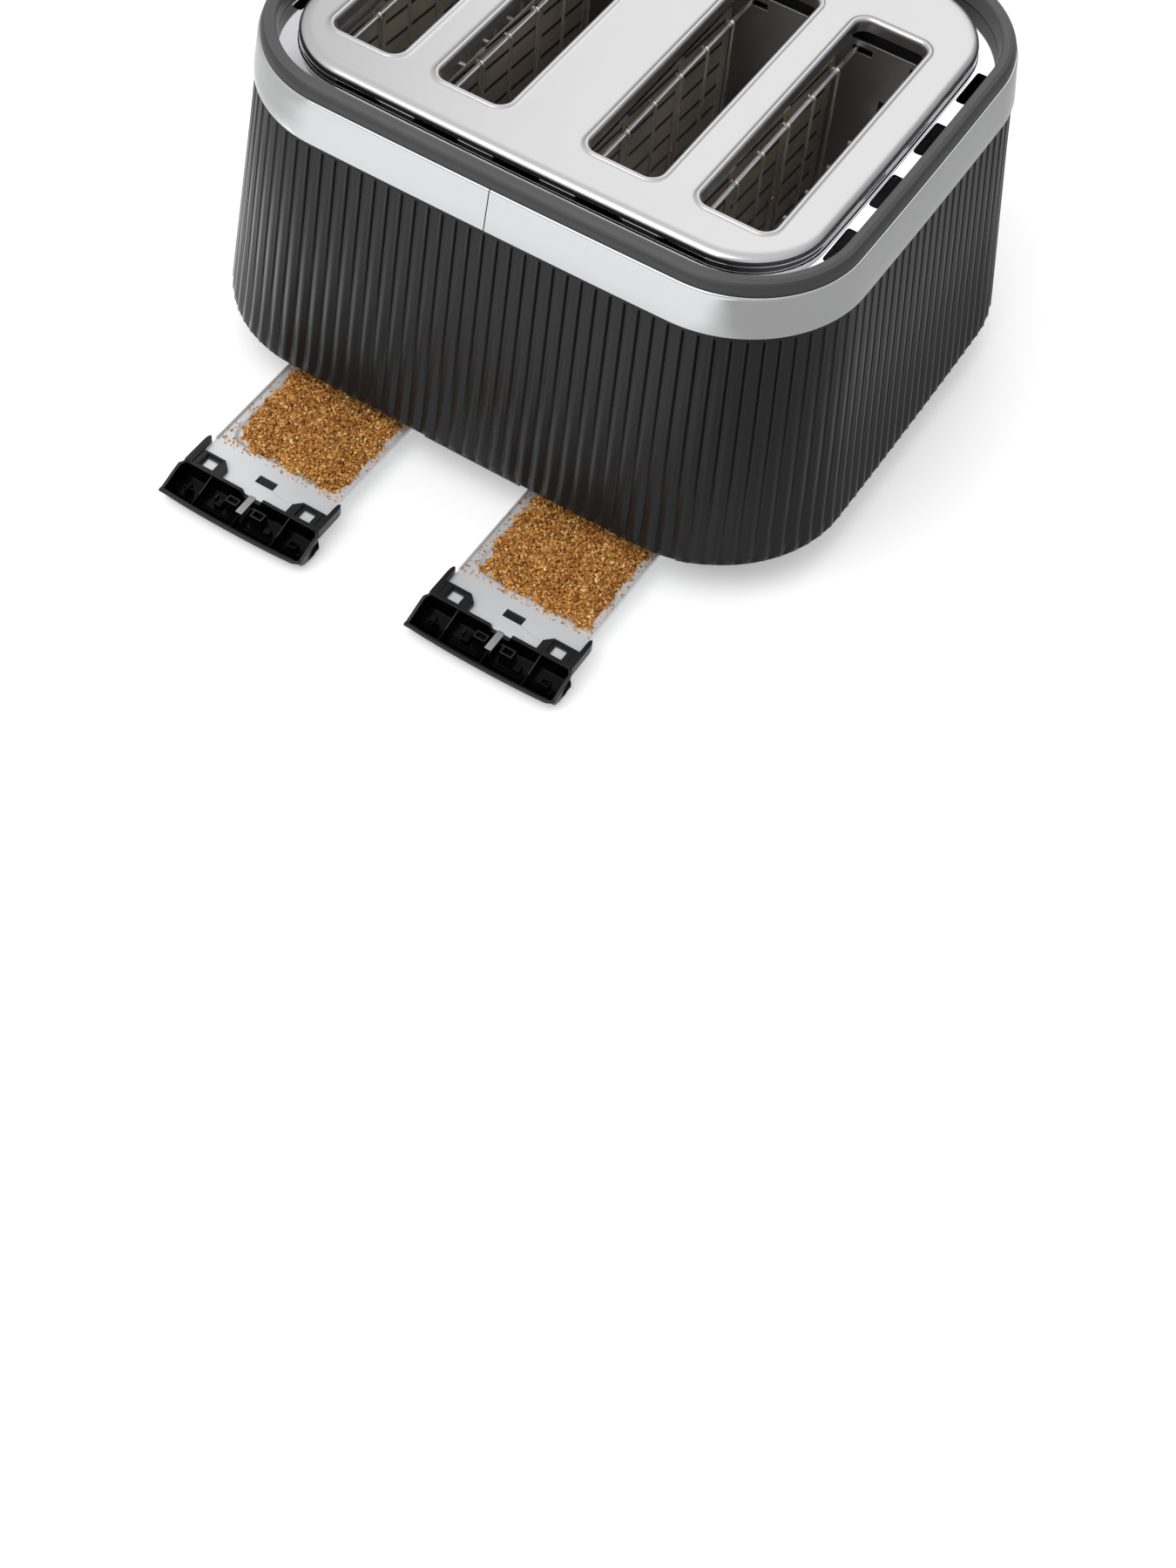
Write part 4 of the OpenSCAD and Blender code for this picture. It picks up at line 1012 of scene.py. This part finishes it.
def make_seal(side, tag):
    """Dark lips behind a lever's slot, either side of its stem."""
    bm = bmesh.new()
    for e in (-1, 1):
        lip = [(1.62, -3.4), (7.5, -3.4), (7.5, -5.2), (4.0, -5.2), (1.62, -4.2)]
        loft(bm, [[(e * u, v, w) for u, w in lip] for v in (-27.5, 50.5)])
    solid_piece("slot_seal_" + tag, bm, "rubber", turn=panel_frame(side))


def make_baffle():
    """Dark sheet over the front end plate, so that no daylight from the lever slots shows in the bread slots."""
    bm = bmesh.new()
    for x0, x1 in ((-115, -18), (18, 115)):
        box(bm, (x0, FRONT_Y - 8.5, END_TOP - 21), (x1, FRONT_Y - 7.5, END_TOP + 4))
    solid_piece("light_baffle", bm, "base_plastic")


for side, tag in ((1, "left"), (-1, "right")):
    make_controls(side, tag)
    make_seal(side, tag)
make_baffle()

# ---------------------------------------------------------------- CAD nodes that stay: crisp but not knife-edged
NODE_BEVELS = (
    (0.15, ("base_screws",)),
    (0.7, ("control_panel", "lever_knob")),
    (0.4, ("cancel", "defrost", "reheat", "vent_ring", "base_", "rubber", "cord_gland")),
    (0.2, ("end_plate", "rod_brackets", "heat_shields", "tray_rails", "bread_rack", "carriage_left", "carriage_right")),
)
for name, obj in nodes.items():
    for width, starts in NODE_BEVELS:
        if name.startswith(starts):
            round_edges(obj, width, True)
            break


# ---------------------------------------------------------------- floor and lights
def make_stage():
    m, tree, shader = new_material("floor_white")
    shader.inputs["Roughness"].default_value = 0.8
    shader.inputs["Specular IOR Level"].default_value = 0.2
    shader.inputs["Emission Color"].default_value = (1, 1, 1, 1)
    shader.inputs["Emission Strength"].default_value = 0.245
    white = ramp(tree, noise_tex(tree, coords(tree), 3.0), [(0.0, (0.9, 0.9, 0.9)), (1.0, (0.92, 0.92, 0.92))])
    tree.links.new(white, shader.inputs["Base Color"])
    mesh = bpy.data.meshes.new("floor")
    mesh.from_pydata([(-8, -8, 0), (8, -8, 0), (8, 8, 0), (-8, 8, 0)], [], [(0, 1, 2, 3)])
    mesh.materials.append(m)
    floor = add_object("floor", mesh)

    world = bpy.data.worlds.new("world")
    world.use_nodes = True
    sky = world.node_tree
    direction = sky.nodes.new("ShaderNodeTexCoord").outputs["Generated"]
    facing = sky.nodes.new("ShaderNodeVectorMath")
    facing.operation = "DOT_PRODUCT"
    facing.inputs[1].default_value = (0.2, 0.2, 0.96)
    sky.links.new(direction, facing.inputs[0])
    share = range_of(sky, facing.outputs["Value"], 0.0, 1.0)
    sky.nodes[-1].inputs["From Min"].default_value = -1.0
    glow = ramp(sky, share, [(0.3, grey(0.32)), (0.5, grey(0.42)), (0.62, grey(0.56)), (0.82, grey(0.92)),
                             (1.0, grey(1.0))])
    sky.links.new(glow, sky.nodes["Background"].inputs[0])
    scene.world = world

    def area(name, at, look, size, power):
        data = bpy.data.lights.new(name, "AREA")
        data.energy, data.size = power, size
        light = add_object(name, data)
        light.location = at
        light.rotation_mode = "QUATERNION"
        light.rotation_quaternion = (Vector(look) - Vector(at)).to_track_quat("-Z", "Y")

    area("light_top", (0.4, 1.3, 2.0), (0, 0, 0.1), 1.6, 19.0)
    area("light_front", (0.3, -1.6, 1.5), (0, 0, 0.1), 1.6, 6.0)

    def card(name, corners, strength, slope, start, width, z=0.002):
        """Panel seen only in reflections; it fades in along slope."""
        mesh = bpy.data.meshes.new(name)
        (x0, y0), (x1, y1) = corners
        mesh.from_pydata([(x0, y0, z), (x1, y0, z), (x1, y1, z), (x0, y1, z)], [], [(0, 1, 2, 3)])
        m = bpy.data.materials.new(name)
        m.use_nodes = True
        tree = m.node_tree
        tree.nodes.clear()
        out = tree.nodes.new("ShaderNodeOutputMaterial")
        mix = tree.nodes.new("ShaderNodeMixShader")
        glow = tree.nodes.new("ShaderNodeEmission")
        glow.inputs["Strength"].default_value = strength
        dot = tree.nodes.new("ShaderNodeVectorMath")
        dot.operation = "DOT_PRODUCT"
        dot.inputs[1].default_value = slope
        tree.links.new(coords(tree), dot.inputs[0])
        fade = tree.nodes.new("ShaderNodeMapRange")
        fade.interpolation_type = "SMOOTHSTEP"
        fade.inputs["From Min"].default_value = start
        fade.inputs["From Max"].default_value = start + width
        tree.links.new(dot.outputs["Value"], fade.inputs["Value"])
        tree.links.new(fade.outputs[0], mix.inputs[0])
        tree.links.new(tree.nodes.new("ShaderNodeBsdfTransparent").outputs[0], mix.inputs[1])
        tree.links.new(glow.outputs[0], mix.inputs[2])
        tree.links.new(mix.outputs[0], out.inputs[0])
        mesh.materials.append(m)
        obj = add_object(name, mesh)
        obj.visible_camera = obj.visible_shadow = obj.visible_diffuse = False

    card("card_side", ((-1.3, -1.0), (0.1, 0.7)), 0.56, (-1.0, -0.35, 0.0), -0.04, 0.2)
    card("card_far", ((0.1, -1.0), (1.3, 0.7)), 0.82, (1.0, -0.35, 0.0), 0.1, 0.22)
    card("glint_far", ((0.15, -0.1), (0.3, 0.22)), 2.2, (-1.0, 0.0, 0.0), -0.3, 0.1, 0.004)
    scene.view_settings.view_transform = "Standard"


make_stage()
